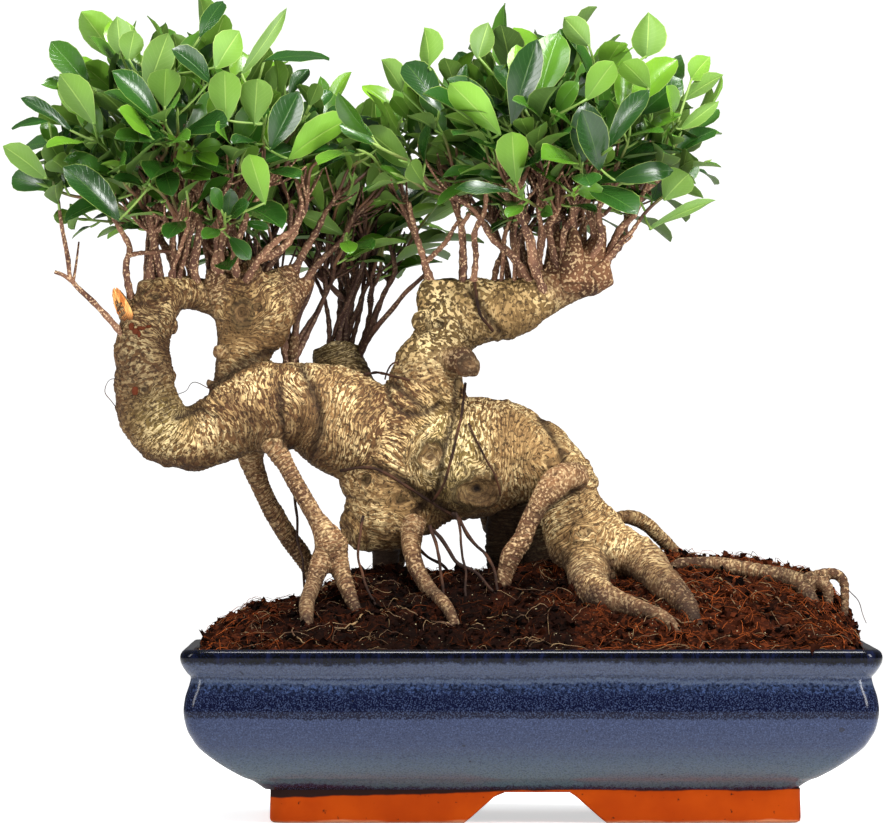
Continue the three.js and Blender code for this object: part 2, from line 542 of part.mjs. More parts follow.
// ---- the whole plant in its pot ----------------------------------------------------------------
const shoots = shootRoutes();
const wood = [
  ...Object.values(LIMBS).map((route) => [route, LIMB_SIDES]),
  ...Object.values(RISERS).map((route) => [route, RISER_SIDES]),
  ...Object.values(ROOTS).map((route) => [route, ROOT_SIDES]),
  ...Object.values(KNOTS).map((route) => [route, ROOT_SIDES]),
];
const tree = join([...wood.map(([route, sides]) => limb(route, sides)), ...shoots.map(twig)]);
const holes = wood.filter(([route]) => route.some(([, , z, radius]) => z - radius < SOIL_TOP))
  .map(([route, sides]) => limb(route, sides, 2 * GAP));

const bonsai = new THREE.Group();
bonsai.add(mesh('pot', makePot(), glaze));
bonsai.add(mesh('drain_screen_left', makeScreen(-1), plastic));
bonsai.add(mesh('drain_screen_right', makeScreen(1), plastic));
bonsai.add(mesh('soil', makeSoil(holes), peat));
bonsai.add(mesh('tree', tree, bark));
growShoots(shoots, tree).forEach((solid, i) => {
  bonsai.add(mesh(`shoot_${String(i + 1).padStart(2, '0')}`, solid, foliage));
});

const extent = new THREE.Box3().setFromObject(bonsai);
bonsai.position.set(-(extent.min.x + extent.max.x) / 2, -(extent.min.y + extent.max.y) / 2, 0);

export default bonsai;
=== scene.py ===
"""A ficus bonsai with a looped, root-bound trunk and three leafy crowns in a blue glazed pot.

Tables are in millimetres from the middle of the pot, +X to the right, +Y to the back and +Z up, and
become metres in the frame as each mesh is made. Surfaces are worked out with numpy, whole arrays at
a time: tubes round curves, grids of two parameters, and formulas that push them in and out.
"""

from itertools import product

import bpy
import numpy as np
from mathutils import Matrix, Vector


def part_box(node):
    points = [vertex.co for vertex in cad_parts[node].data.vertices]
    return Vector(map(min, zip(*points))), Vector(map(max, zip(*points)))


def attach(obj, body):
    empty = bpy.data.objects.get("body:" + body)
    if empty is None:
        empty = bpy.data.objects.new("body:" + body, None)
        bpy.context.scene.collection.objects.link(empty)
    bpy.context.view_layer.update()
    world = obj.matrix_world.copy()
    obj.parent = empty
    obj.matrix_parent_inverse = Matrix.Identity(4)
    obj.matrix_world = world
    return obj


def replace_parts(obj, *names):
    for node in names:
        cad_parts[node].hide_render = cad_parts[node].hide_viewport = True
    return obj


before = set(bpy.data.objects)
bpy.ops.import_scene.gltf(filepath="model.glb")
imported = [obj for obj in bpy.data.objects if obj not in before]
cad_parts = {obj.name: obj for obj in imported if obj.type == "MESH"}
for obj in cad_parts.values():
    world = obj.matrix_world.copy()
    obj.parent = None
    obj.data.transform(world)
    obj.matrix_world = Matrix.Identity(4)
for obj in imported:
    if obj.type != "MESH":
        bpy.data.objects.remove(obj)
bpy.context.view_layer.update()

MM = 0.001
SEED = 20
random = np.random.default_rng(SEED)
pot_low, pot_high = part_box("pot")
POT_MIDDLE = np.array([(pot_low.x + pot_high.x) / 2, (pot_low.y + pot_high.y) / 2, 0.0]) / MM

# ---- the pot: inset from the rim's outline and height, in millimetres --------------------------
POT_HALF = np.array([225.0, 160.0])
POT_CORNER = 12.0
POT_TOP = 113.0
FOOT_TOP = 22.2
GLAZED_OUTSIDE = [
    (53.5, 21.6), (46, 27), (39, 30), (28, 36.5), (19, 43), (11.5, 49.5), (7, 56), (4, 62), (2, 72),
    (3, 82), (5.5, 90), (6.5, 95), (4.5, 97.5), (1.5, 102), (0, 106), (0.2, 110), (2.4, 112.7),
    (5, 113), (7.5, 112.4),
]
GLAZED_INSIDE = [(9.5, 110), (16, 92), (12.5, 72), (17, 56), (33, 40), (48, 30), (58, 25)]
FOOT_OUTSIDE = [(53.8, FOOT_TOP), (53.8, 19), (53.5, 3), (54.1, 1), (55.8, 0)]
UNDERSIDE = 19.6
FOOT_INSIDE = [(73, 0), (74.4, 1), (75, 3), (75.2, 17), (76, UNDERSIDE)]
FOOT_SHIFT = 3.0
# The inset at which the flat floor and underside are closed.
INNERMOST = 120.0
NOTCH = {"top": 23.0, "bottom": 45.5, "height": 20.0}
DRAIN = {"x": 75.0, "radius": 14.0}

# ---- the soil ----------------------------------------------------------------------------------
SOIL_EDGE, SOIL_CREST, SOIL_LIP, SOIL_SLOPE = 110.0, 56.0, 2.0, 0.08
SOIL_INSET = 10.0
# The part of the soil inside the pot: inset and height.
SOIL_WALL = [(60, 26), (48.6, 31), (33.6, 40.5), (17.6, 56), (13.2, 72), (16.6, 92), (10.4, 106)]
# A hump and a hollow on the ridge: height, x and half width; and their y and half depth.
SOIL_HUMPS = [(9.0, -106, 26), (-7.0, -154, 24)]
HUMP_Y, HUMP_DEPTH = 14, 42
# Where the soil is nearly black with humus: the middle in x and the half width.
HUMUS_X, HUMUS_REACH = -68, 110
CRUMBS, FIBRES, HAIR_ROOTS = 3900, 3600, 380
# The one large crumb that lies on the pot's rim.
RIM_CRUMB = {"place": (181, -157.5, POT_TOP), "size": 3.4}

# ---- the tree's routes: x, y, z, radius along the middle of each limb and root ------------------
LOOP_LIMBS = {
    "loop": [(-88, 2, 243, 30), (-96, 0, 246, 33), (-116, 0, 256, 34), (-134, 0, 265, 32),
             (-150, -2, 271, 28), (-163, -4, 270, 29.5), (-176, -5, 269, 29.5), (-190, -6, 265, 27),
             (-206, -8, 254, 21.5), (-222, -10, 248, 20.5), (-240, -12, 253, 20.5),
             (-250, -12, 272, 19.5), (-252, -12, 293, 17.5), (-253, -10, 312, 16.5),
             (-248, -8, 329, 15.5), (-241, -6, 339, 14.5), (-231, -4, 343, 11), (-218, 0, 343.5, 10),
             (-206, 3, 336, 9)],
    "crown": [(-192, 4, 276, 19.5), (-189, 6, 296, 17), (-185, 8, 312, 21.5), (-182, 8, 327, 27.5),
              (-184, 6, 339, 27), (-187, 6, 347, 19.5)],
    "back_stump": [(-118, 24, 267, 22.5), (-124, 36, 290, 18), (-127, 42, 306, 15)],
    "torn": [(-257, -14, 318, 5), (-265, -15, 333, 5), (-271, -13, 345, 2.5)],
    "back_aerial": [(-182, 8, 253, 10), (-183, 16, 237, 8), (-178, 20, 221, 6.5),
                    (-172, 24, 207, 6), (-165, 28, 194, 6), (-157, 32, 181, 5.5),
                    (-149, 34, 170, 5.5), (-143, 36, 157, 4.5), (-140, 38, 136, 3.5)],
    "front_aerial": [(-165, -12, 257, 11), (-168, -18, 247, 8), (-162, -22, 236, 6),
                     (-155, -27, 223, 5), (-147, -32, 209, 5), (-139, -36, 196, 5.5),
                     (-133, -40, 186, 8), (-129, -42, 177, 10), (-128, -44, 168, 6)],
    "aerial_leg_a": [(-130, -42, 178, 8), (-137, -48, 164, 6.5), (-142, -58, 150, 5),
                     (-145, -80, 140, 4.5), (-144, -100, 124, 3.5)],
    "aerial_leg_b": [(-128, -42, 177, 8), (-123, -47, 161, 6), (-118, -58, 148, 4.5),
                     (-112, -68, 134, 3)],
    "thick": [(-198, 4, 336, 13), (-200, 2, 348, 9.5), (-201, 1, 358, 5)],
    "leaning": [(-178, 10, 335, 11.5), (-172, 13, 347, 8.5), (-167, 15, 357, 4.5)],
    "left_neck": [(-252, -12, 326, 11), (-250, -12, 342, 7), (-251, -13, 351, 4)],
    "mass_left": [(-196, 0, 338, 14), (-203, -4, 349, 10), (-208, -6, 359, 3)],
    "mass_middle": [(-184, 0, 342, 15), (-183, -4, 355, 11), (-180, -6, 367, 3)],
    "mass_right": [(-174, 4, 340, 13), (-163, 8, 351, 9), (-152, 10, 360, 3)],
    "mass_low": [(-166, 6, 332, 12), (-154, 10, 343, 8), (-143, 14, 352, 3)],
    "bump_high": [(-200, -4, 304, 6), (-207, -6, 305, 3)],
    "bump_low": [(-204, -6, 282, 6), (-212, -8, 284, 3)],
    "bump_inner": [(-240, -12, 290, 6), (-232, -13, 287, 3)],
    "bump_top": [(-238, -8, 322, 6), (-231, -9, 320, 3)],
    "bump_outer": [(-264, -12, 298, 7), (-270, -13, 297, 6)],
    "corner_left": [(-243, -8, 333, 10), (-236, -7, 332, 8), (-230, -8, 330, 4)],
    "corner_right": [(-196, 3, 333, 11), (-204, 2, 332, 8), (-210, 0, 330, 4)],
    "corner_low": [(-196, -2, 276, 9), (-202, -5, 273, 7)],
    "back_lean": [(-160, 8, 276, 9), (-157, 16, 294, 6), (-155, 22, 308, 4), (-154, 26, 320, 2)],
}
BASE_LIMBS = {
    "branch": [(-68, 0, 273, 27.5), (-65, 0, 294, 23), (-58, 0, 308, 20.5), (-49, -2, 324, 21.5),
               (-36, -4, 330.5, 22.5), (-19, -6, 332, 19.5), (0, -8, 338, 15.5), (20, -8, 348, 13),
               (40, -8, 355, 13), (52, -8, 358, 8.5)],
    "upright_stump": [(-52, 0, 319, 17), (-57, 0, 335, 15), (-57, 0, 351, 13)],
    "belly": [(-90, 0, 247, 31.5), (-62, 2, 235, 39.5), (-36, 4, 236, 39.5), (-16, 4, 236, 36),
              (2, 2, 232, 29), (19, 0, 222, 20.5), (28, 0, 208, 18.5)],
    "column": [(-66, 0, 278, 26), (-80, 0, 255, 34), (-90, 0, 231, 34.5), (-90, 2, 208, 29.5),
               (-93, 2, 196, 27.5), (-94, 4, 184, 21)],
    "column_heel": [(-84, 4, 196, 20), (-106, -2, 190, 18), (-119, -8, 186, 11)],
    "column_skirt": [(-92, 0, 202, 18), (-78, -2, 201, 17), (-62, -2, 206, 15.5), (-46, -2, 216, 15)],
    "column_core": [(-92, 26, 200, 15), (-94, 38, 176, 9), (-95, 42, 155, 7), (-94, 44, 137, 5)],
    "cut_knob": [(-54, -14, 300, 9), (-46, -20, 300, 8), (-40, -22, 297, 9), (-35, -22, 299, 6)],
    "left_knob": [(-59, -8, 322, 10.5), (-69, -10, 324, 8), (-76, -11, 325, 4.5)],
    "burl": [(15, -6, 345, 12), (19, -8, 358, 10), (20, -10, 371, 6.5), (19, -11, 384, 2.5)],
    "burl_end": [(36, -10, 352, 12), (40, -11, 364, 9), (44, -12, 376, 6), (47, -13, 388, 2.5)],
    "burl_front": [(28, -18, 350, 8), (28, -20, 362, 7), (29, -20, 374, 5), (29, -20, 386, 2)],
}
LEG_LIMBS = {
    "leg": [(20, 0, 225, 19.5), (26, -2, 202, 20.5), (37, -4, 181, 26), (45, -6, 166, 23.5),
            (49, -6, 147, 18.5), (51, -6, 129, 12)],
    "toe_back": [(45, -12, 178, 18.5), (72, -24, 169, 13), (84, -53, 156, 11), (96, -79, 145, 8.5),
                 (103, -98, 136, 6), (108, -112, 124, 4)],
    "toe_front": [(37, -16, 171, 16.5), (37, -36, 160, 13.5), (43, -69, 148, 11), (55, -83, 142, 8),
                  (71, -95, 137, 6.5), (87, -108, 131, 5), (96, -118, 120, 3.5)],
    "crossing": [(24, -4, 214, 8), (30, -22, 222, 8.5), (20, -36, 221, 9), (10, -44, 211, 8),
                 (0, -50, 195, 6), (-5, -52, 182, 6), (-12, -52, 172, 6), (-16, -52, 161, 5),
                 (-20, -52, 144, 4)],
    "arch": [(45, 14, 188, 5.5), (57, 28, 195, 4), (67, 34, 196, 4.5), (76, 36, 192, 4.5),
             (85, 38, 184, 4.5), (93, 40, 176, 4), (101, 42, 166, 4), (108, 44, 150, 3.5)],
    "ridge": [(49, -8, 146, 6), (70, -22, 146, 5), (86, -28, 154, 4), (96, -26, 165, 3.5),
              (106, -22, 166, 4), (121, -24, 165, 5), (137, -28, 163, 5), (153, -32, 160, 5),
              (170, -34, 156, 6), (180, -40, 151, 6)],
    "claw_1": [(177, -38, 152, 5), (183, -59, 143, 4), (187, -80, 130, 2.5)],
    "claw_2": [(178, -36, 153, 5), (189, -48, 154, 4), (194, -50, 149, 3.5), (193, -53, 132, 2)],
    "claw_3": [(176, -32, 154, 4.5), (194, -44, 160, 3.5), (203, -46, 157, 3), (205, -48, 146, 2.5),
               (204, -52, 126, 2)],
    "centre": [(-76, -18, 195, 9), (-77, -26, 176, 6), (-73, -34, 162, 5), (-65, -50, 149, 4.5),
               (-55, -78, 140, 4), (-48, -96, 126, 3)],
    "shadow_right": [(0, 24, 207, 10), (8, 24, 186, 14), (14, 24, 165, 17), (18, 24, 142, 17)],
    "shadow": [(-14, 28, 213, 13), (-17, 34, 188, 11), (-18, 36, 168, 10), (-19, 38, 144, 6.5)],
    "back_left_root": [(-82, 28, 221, 13), (-86, 44, 187, 9), (-90, 54, 164, 7.5),
                       (-93, 60, 138, 5.5)],
    "back_right_root": [(-34, 34, 227, 13), (-22, 54, 194, 8.5), (-6, 66, 167, 6.5),
                        (5, 76, 138, 4.5)],
}
# The stems that rise from the limbs into the crowns. Every point of them is a seat for shoots.
RISERS = [
    [(-242, -6, 340, 5), (-240, -10, 363, 3.8), (-243, -14, 386, 3)],
    [(-258, -12, 328, 5), (-263, -14, 355, 3.8), (-262, -16, 372, 3.2), (-272, -18, 391, 2.6)],
    [(-218, 0, 335, 6), (-221, -4, 363, 4.4), (-222, -6, 388, 3.2), (-222, -10, 409, 2.6)],
    [(-200, 2, 352, 6), (-201, 1, 370, 4.6), (-203, 0, 386, 3.8), (-208, -6, 411, 2.8)],
    [(-178, 10, 335, 6), (-169, 14, 361, 4), (-156, 18, 384, 2.8)],
    [(-155, 22, 308, 4.4), (-151, 28, 332, 3.6), (-141, 32, 355, 3.2), (-134, 36, 375, 2.6)],
    [(-122, 38, 298, 4.4), (-119, 46, 339, 3.2), (-117, 50, 369, 2.6)],
    [(-116, 28, 280, 4.4), (-104, 42, 336, 3.0), (-101, 46, 367, 2.4)],
    [(-62, 2, 338, 5), (-72, 6, 366, 3.6), (-80, 10, 390, 2.8)],
    [(-43, -2, 336, 5.5), (-42, -4, 370, 4.4), (-44, -6, 394, 3.4)],
    [(-14, 2, 338, 4.5), (-15, 8, 364, 3.2), (-22, 14, 386, 2.6)],
    [(12, -14, 336, 4.5), (1, -24, 371, 3.4), (-9, -28, 398, 2.8)],
    [(15, -6, 345, 6), (17, -6, 367, 4.8), (13, -10, 390, 3.6), (6, -14, 412, 2.8)],
    [(36, -10, 352, 6), (38, -12, 374, 4.8), (40, -14, 396, 3.6), (38, -16, 418, 2.8)],
    [(46, -8, 354, 5), (54, -8, 380, 3.6), (64, -10, 401, 2.8)],
]
# More stems between the risers. They carry twigs only at their tops.
SIDE_STEMS = [
    [(-214, -4, 338, 5), (-220, -10, 362, 5.5), (-217, -16, 386, 4.6), (-223, -20, 414, 3.2)],
    [(-206, -4, 344, 7), (-206, -8, 364, 6.5), (-198, -10, 381, 5), (-191, -12, 404, 3.2)],
    [(-192, 0, 346, 7), (-177, -4, 363, 6), (-163, -4, 376, 4.8), (-148, -2, 396, 3.2)],
    [(-178, 2, 336, 7), (-160, 6, 356, 5.5), (-146, 8, 373, 4.4), (-131, 10, 398, 3)],
    [(-166, 8, 328, 6), (-151, 10, 346, 5), (-137, 16, 363, 4), (-121, 20, 384, 2.8)],
    [(-197, 12, 340, 6), (-207, 24, 368, 5), (-216, 34, 396, 3.4)],
    [(-181, 16, 336, 6), (-172, 30, 366, 5), (-164, 42, 394, 3.2)],
    [(-226, 0, 338, 6), (-232, 8, 360, 5), (-246, 10, 388, 3.2)],
    [(-190, -6, 346, 5), (-194, -14, 366, 4.4), (-188, -20, 388, 3.6), (-176, -24, 408, 2.8)],
    [(-157, 16, 293, 4.4), (-163, 24, 322, 3.6), (-171, 30, 352, 2.8)],
    [(-156, 18, 297, 4), (-161, 30, 326, 3.4), (-178, 36, 352, 2.6)],
    [(-155, 22, 305, 4), (-144, 30, 326, 3), (-132, 34, 348, 2.4)],
    [(6, -14, 342, 4.4), (-8, -20, 364, 3.8), (-26, -24, 385, 3.2), (-42, -26, 400, 2.4)],
    [(8, -8, 346, 4.6), (-6, -8, 362, 4), (-22, -4, 380, 3.4), (-34, 0, 400, 2.6)],
    [(44, -12, 354, 5.5), (52, -14, 370, 4.6), (62, -16, 388, 3.8), (74, -18, 404, 3)],
    [(38, -14, 356, 5), (42, -18, 376, 4.4), (46, -22, 400, 3.2)],
    [(28, -14, 350, 6), (24, -20, 374, 5), (28, -26, 398, 3.4)],
    [(22, -14, 356, 5), (14, -20, 380, 4.2), (16, -24, 402, 3.2)],
    [(2, 0, 340, 6), (-4, 8, 366, 4.6), (-2, 16, 392, 3.2)],
    [(44, -2, 352, 6), (58, 8, 374, 4.6), (66, 14, 396, 3.2)],
    [(-158, 12, 290, 4), (-164, 22, 316, 3.2), (-176, 30, 344, 2.6)],
    [(-156, 18, 300, 4), (-153, 26, 322, 3), (-160, 32, 350, 2.4)],
    [(-157, 14, 294, 4), (-145, 26, 318, 3), (-137, 32, 340, 2.4)],
    [(-130, 40, 300, 3.6), (-134, 44, 328, 2.8), (-142, 48, 356, 2.2)],
    [(-124, 42, 300, 3.6), (-126, 48, 334, 2.8), (-124, 54, 366, 2.2)],
    [(-120, 40, 298, 3.4), (-112, 46, 330, 2.6), (-109, 52, 362, 2.2)],
    [(-116, 34, 292, 3.2), (-106, 44, 322, 2.6), (-92, 52, 350, 2.0)],
]
# Shoots of the solid model start above the first height; the stems beyond it start on limbs above
# the second, where these are thicker than the radius.
LOWEST_FORK = 290.0
LOWEST_SEAT, SEAT_RADIUS = 298.0, 7.0

# Scars and cut ends on the front of the bark: x, z, radius, how far the rim stands out, and how
# clearly they show as rings round a hole, from 0 to 1.
LOOP_KNOTS = [
    (-189, 330, 8, 2.2, 0.7), (-178, 334, 5, 1.4, 0.2), (-251, 280, 4, 1.0, 0.3),
    (-244, 341, 7, 1.6, 0.3),
]
BASE_KNOTS = [
    (-65, 236, 9, 2.4, 0.8), (-34, 214, 13, 2.6, 1.0), (-107, 220, 5, 1.4, 0.4),
    (-85, 208, 6, 1.4, 0.3), (-107, 206, 4, 1.0, 0.2), (-59, 322, 6, 1.6, 0.3),
    (-74, 324, 5, 1.4, 0.2), (-39, 297, 8, 2.2, 0.6),
]
LEG_KNOTS = [(16, 226, 6, 1.0, 0.0), (34, 186, 6, 1.0, 0.0)]
# Creases where limbs have grown together, seen from the front: depth, width, then x, z pairs.
LOOP_CREASES = [
    (2.2, 2.4, [(-163, 284), (-162, 266), (-160, 244)]),
    (3.0, 3.0, [(-150, 299), (-143, 285), (-138, 269), (-137, 254), (-141, 240)]),
    (3.4, 3.0, [(-214, 277), (-204, 287), (-190, 297), (-172, 303), (-152, 300)]),
    (1.6, 2.2, [(-230, 262), (-216, 268), (-205, 262)]),
]
BASE_CREASES = [
    (2.4, 2.4, [(-39, 345), (-30, 330), (-19, 317)]),
    (3.2, 3.0, [(-46, 286), (-50, 262), (-57, 236), (-60, 214), (-74, 200)]),
    (2.4, 3.0, [(-122, 232), (-104, 232), (-85, 222), (-68, 210), (-50, 198)]),
    (2.2, 2.6, [(-100, 290), (-84, 280), (-70, 268)]),
    (2.0, 2.6, [(8, 262), (20, 240), (24, 226)]),
    (2.6, 2.2, [(-96, 289), (-91, 272), (-81, 265), (-70, 264), (-59, 270)]),
    (2.6, 2.6, [(-130, 243), (-114, 247), (-101, 257), (-96, 267)]),
]
LEG_CREASES = [(2.0, 2.0, [(6, 198), (20, 208), (36, 217)])]

# How young and brown, and how dark with dirt and painted shade, the bark of some limbs is, each from 0
# to 1.
BARK_KINDS = {
    (1, 0): "burl burl_end burl_front",
    (0.9, 0): "mass_middle mass_right mass_low",
    (0.85, 0): "mass_left",
    (0.75, 0): "crossing",
    (0.7, 0): "thick leaning",
    (0.6, 0): "aerial_leg_a aerial_leg_b",
    (0.55, 0): "front_aerial",
    (0.5, 0): "torn",
    (0.3, 0): "left_neck",
    (0.6, 0.1): "centre",
    (0.45, 0.1): "back_aerial",
    (0.4, 0.1): "bump_outer",
    (0.3, 0.15): "corner_left",
    (0.7, 0.2): "claw_1 claw_2 claw_3",
    (0.5, 0.2): "bump_high bump_low bump_inner",
    (0.4, 0.2): "bump_top corner_right",
    (0.8, 0.3): "cut_knob",
    # Painted shade: shadow, shadow_right and column_core are nearly black because they lie in shadow
    # under the trunk, and the back roots and back_stump are darkened in part for the same reason.
    (0.4, 0.45): "back_left_root back_right_root",
    (0.9, 0.5): "back_lean",
    (0, 0.55): "back_stump",
    (0.2, 0.85): "shadow",
    (0.2, 0.9): "shadow_right",
    (0.3, 0.95): "column_core",
}
KIND_OF = {limb: kind for kind, limbs in BARK_KINDS.items() for limb in limbs.split()}
# Where the bark is greener, paler, worn, darker or young: how much, the middle, the reach.
BARK_PATCHES = {
    "moss": [(1.6, (-52, -36, 238), (34, 40, 56)), (1.4, (-240, -28, 262), (30, 40, 30)),
             (2.0, (-124, 38, 308), (34, 40, 30))],
    "pale": [(0.8, (45, -20, 185), (80, 80, 80)), (0.7, (0, -30, 245), (70, 60, 56)),
             (0.8, (-95, -30, 200), (46, 60, 46)), (0.4, (-190, -20, 315), (40, 60, 40)),
             (-0.3, (-240, -20, 280), (60, 70, 70)), (-0.4, (-72, -20, 285), (40, 60, 30)),
             (-0.3, (-50, -10, 352), (40, 60, 20))],
    "worn": [(1.4, (8, -30, 246), (46, 60, 46)), (0.6, (-128, -30, 264), (28, 50, 38)),
             (0.9, (45, -20, 185), (70, 70, 70)), (1.0, (-95, -30, 205), (42, 60, 42)),
             (0.9, (-190, -20, 318), (36, 60, 36)), (0.8, (0, -20, 328), (60, 60, 30))],
    "earth_and_shade": [(0.7, (-252, -20, 294), (46, 60, 62))],
    "young": [(2.2, (36, -12, 360), (42, 44, 30))],
}
# The distance in millimetres between two wrinkles along a limb, and between two rings at a knot.
WRINKLE = 3.3
KNOT_RING = 2.8
# How much further each limb's wrinkles are counted than those of the limb before.
LIMB_SHIFT = 37.0

# Thin dark roots that cling to the bark, seen from the front: radius, then x, z pairs.
CLINGING_ROOTS = [
    (0.9, [(-42, 284), (-46, 256), (-52, 232), (-56, 218), (-64, 206)]),
    (1.0, [(-124, 227), (-104, 229), (-85, 220), (-70, 210), (-50, 197)]),
    (0.9, [(-108, 290), (-100, 291), (-89, 289), (-78, 286)]),
    (1.0, [(-36, 350), (-33, 330), (-24, 318)]),
    (0.7, [(-40, 258), (-35, 246), (-28, 234), (-22, 222), (-19, 210)]),
]
# Drops of resin on the front of the bark: x, z, half width, half height.
RESIN_DROPS = [(-257.5, 279, 2.2, 3.4), (-257, 318, 2.6, 2.4), (-253.5, 320, 3.0, 1.5),
               (-249, 321, 2.0, 1.2), (-260, 321, 1.8, 3.0), (-255, 316, 1.2, 2.6)]
# Thin roots that hang free before they reach the soil: x, y, z, radius.
HANGING_ROOTS = [
    [(-152, -20, 222, 1.6), (-153, -26, 201, 1.4), (-150, -30, 180, 1.3), (-148, -38, 150, 1.2)],
    [(-65, -34, 192, 2.0), (-61, -42, 176, 1.8), (-58, -50, 162, 1.6), (-57, -56, 140, 1.4)],
    [(-63, -34, 188, 2.4), (-46, -48, 169, 2.0), (-32, -56, 158, 1.7), (-20, -62, 146, 1.5),
     (-14, -68, 136, 1.4)],
    [(-49, -34, 199, 1.6), (-44, -42, 182, 1.4), (-42, -52, 166, 1.3), (-40, -62, 142, 1.2)],
    [(-51, -32, 199, 2.2), (-36, -40, 179, 1.9), (-26, -52, 166, 1.6), (-18, -64, 140, 1.4)],
    [(-110, -26, 196, 1.6), (-113, -40, 176, 1.4), (-108, -56, 158, 1.3), (-100, -70, 138, 1.2)],
    [(-88, 20, 190, 2.0), (-70, 34, 172, 1.7), (-52, 44, 158, 1.5), (-40, 52, 138, 1.3)],
    [(203, -46, 155, 0.7), (210, -48, 148, 0.5), (215, -52, 140, 0.4), (219, -56, 128, 0.4)],
    [(-94, -6, 288, 0.9), (-92, -10, 296, 0.9), (-88, -12, 297, 0.9), (-85, -8, 288, 0.8)],
    [(-262, -24, 284, 0.5), (-273, -26, 285, 0.4), (-277, -24, 277, 0.4), (-270, -20, 269, 0.4)],
    [(-231, -22, 276, 0.5), (-224, -24, 279, 0.4), (-218, -22, 285, 0.4), (-206, -18, 281, 0.4)],
]
# Pale roots that lie on the soil: x, y pairs, the radius first.
SURFACE_ROOTS = [
    (1.8, [(-107, -70), (-112, -92), (-120, -104), (-130, -108)]),
    (1.4, [(-150, -96), (-154, -112), (-148, -122), (-140, -120)]),
    (1.2, [(-65, -92), (-52, -104), (-36, -108), (-22, -112)]),
    (1.0, [(-90, -60), (-70, -84), (-46, -96), (-20, -94), (-2, -102)]),
    (1.1, [(66, -96), (82, -104), (100, -110), (114, -122)]),
    (0.9, [(60, -60), (82, -78), (108, -84), (126, -100)]),
    (1.2, [(120, -40), (132, -62), (128, -84), (140, -98)]),
    (1.0, [(150, -60), (166, -84), (184, -92)]),
    (1.3, [(-120, 40), (-140, 64), (-150, 92), (-132, 112)]),
    (1.2, [(20, 60), (44, 78), (60, 104), (92, 112)]),
    (1.0, [(-40, 80), (-30, 104), (-6, 120)]),
    (0.9, [(-176, -30), (-186, -58), (-182, -84)]),
]

# ---- the crowns ------------------------------------------------------------------------------------
# The dome that the shoots' tips reach, how far it goes below its middle, and the point under it
# that the shoots lean away from. `more` shoots are grown between those of the solid model, and
# `low_shoots` inside the lower half.
CROWNS = [
    {"centre": (-232, 0, 440), "reach": (66, 72, 56), "low": 0.35, "shoots": 13, "turn": 0.4,
     "heart": (-214, 0, 350), "more": 51, "low_shoots": 21},
    {"centre": (14, 0, 440), "reach": (66, 72, 52), "low": 0.35, "shoots": 14, "turn": 1.32,
     "heart": (4, -4, 350), "more": 42, "low_shoots": 18},
    {"centre": (-112, 62, 396), "reach": (34, 42, 34), "low": 0.5, "shoots": 5, "turn": 2.2,
     "heart": (-120, 40, 310), "more": 18, "low_shoots": 9},
]
SIDE_SHOOTS = [
    {"wood": [(-261, -14, 309), (-272, -20, 323), (-286, -20, 338), (-301, -20, 353),
              (-304, -20, 366), (-308, -20, 395)], "tip": (-306, -24, 436), "scale": 0.7},
    {"wood": [(40, -10, 356), (56, -18, 372), (68, -20, 379), (75, -20, 387)],
     "tip": (96, -24, 414), "scale": 0.8},
]
# Bare and leafy twigs that show in front of and between the crowns.
LOOSE_TWIGS = [
    [(10, -20, 340, 3.0), (0, -34, 371, 2.4), (-8, -44, 403, 2.0), (-10, -52, 424, 1.6)],
    [(-58, -6, 340, 2.6), (-66, -8, 353, 2.2), (-73, -10, 368, 1.8), (-79, -12, 403, 1.3)],
    [(-70, -10, 362, 1.8), (-52, -14, 377, 1.5), (-44, -18, 390, 1.1)],
    [(-112, 34, 302, 2.4), (-100, 30, 330, 1.8), (-92, 28, 356, 1.5), (-89, 26, 380, 1.2)],
    [(-112, 34, 302, 2.4), (-104, 28, 316, 1.9), (-88, 18, 334, 1.6), (-70, 6, 354, 1.3)],
    [(-43, -10, 346, 2.4), (-43, -16, 368, 2.0), (-42, -22, 396, 1.4)],
    [(-38, -14, 344, 2.2), (-34, -22, 376, 1.8), (-29, -30, 412, 1.3)],
    [(-186, -14, 350, 2.6), (-169, -20, 377, 2.0), (-156, -24, 387, 1.7), (-148, -26, 402, 1.3)],
    [(-263, -15, 366, 1.6), (-250, -17, 371, 1.5), (-238, -12, 371, 1.4), (-226, -8, 369, 1.3)],
    [(-301, -20, 353, 1.6), (-307, -21, 357, 1.4), (-313, -22, 359, 1.1)],
]
GOLDEN_ANGLE = np.pi * (3 - np.sqrt(5))
# The green part of a shoot of the solid model and of a shoot beyond it.
LEAFY_LENGTH, SHORT_LEAFY = 62.0, 46.0
# Points on the woody and on the green part of each shoot, and on a stem; on each tube of the twigs;
# and on a curve before it is cut into even steps.
STATIONS, TWIG_STATIONS, FINE_STATIONS = 14, 28, 60
# How much the risers, the side stems and their like slim down where they are twigs.
STEM_SLIM = 0.54
LEAVES_PER_SHOOT = 5
LEAF = {"length": 44.0, "spread": 11.0, "petiole": 9.0, "width": 0.54, "arch": 0.2}
# Least distances between a leaf and an earlier one, between it and a leading leaf, and between
# it and a leading leaf behind it as seen from the front; and how far right a leaf may reach.
CROWDED, CROSSING, HIDING, OUTLINE_RIGHT = 10, 11, 17, 130
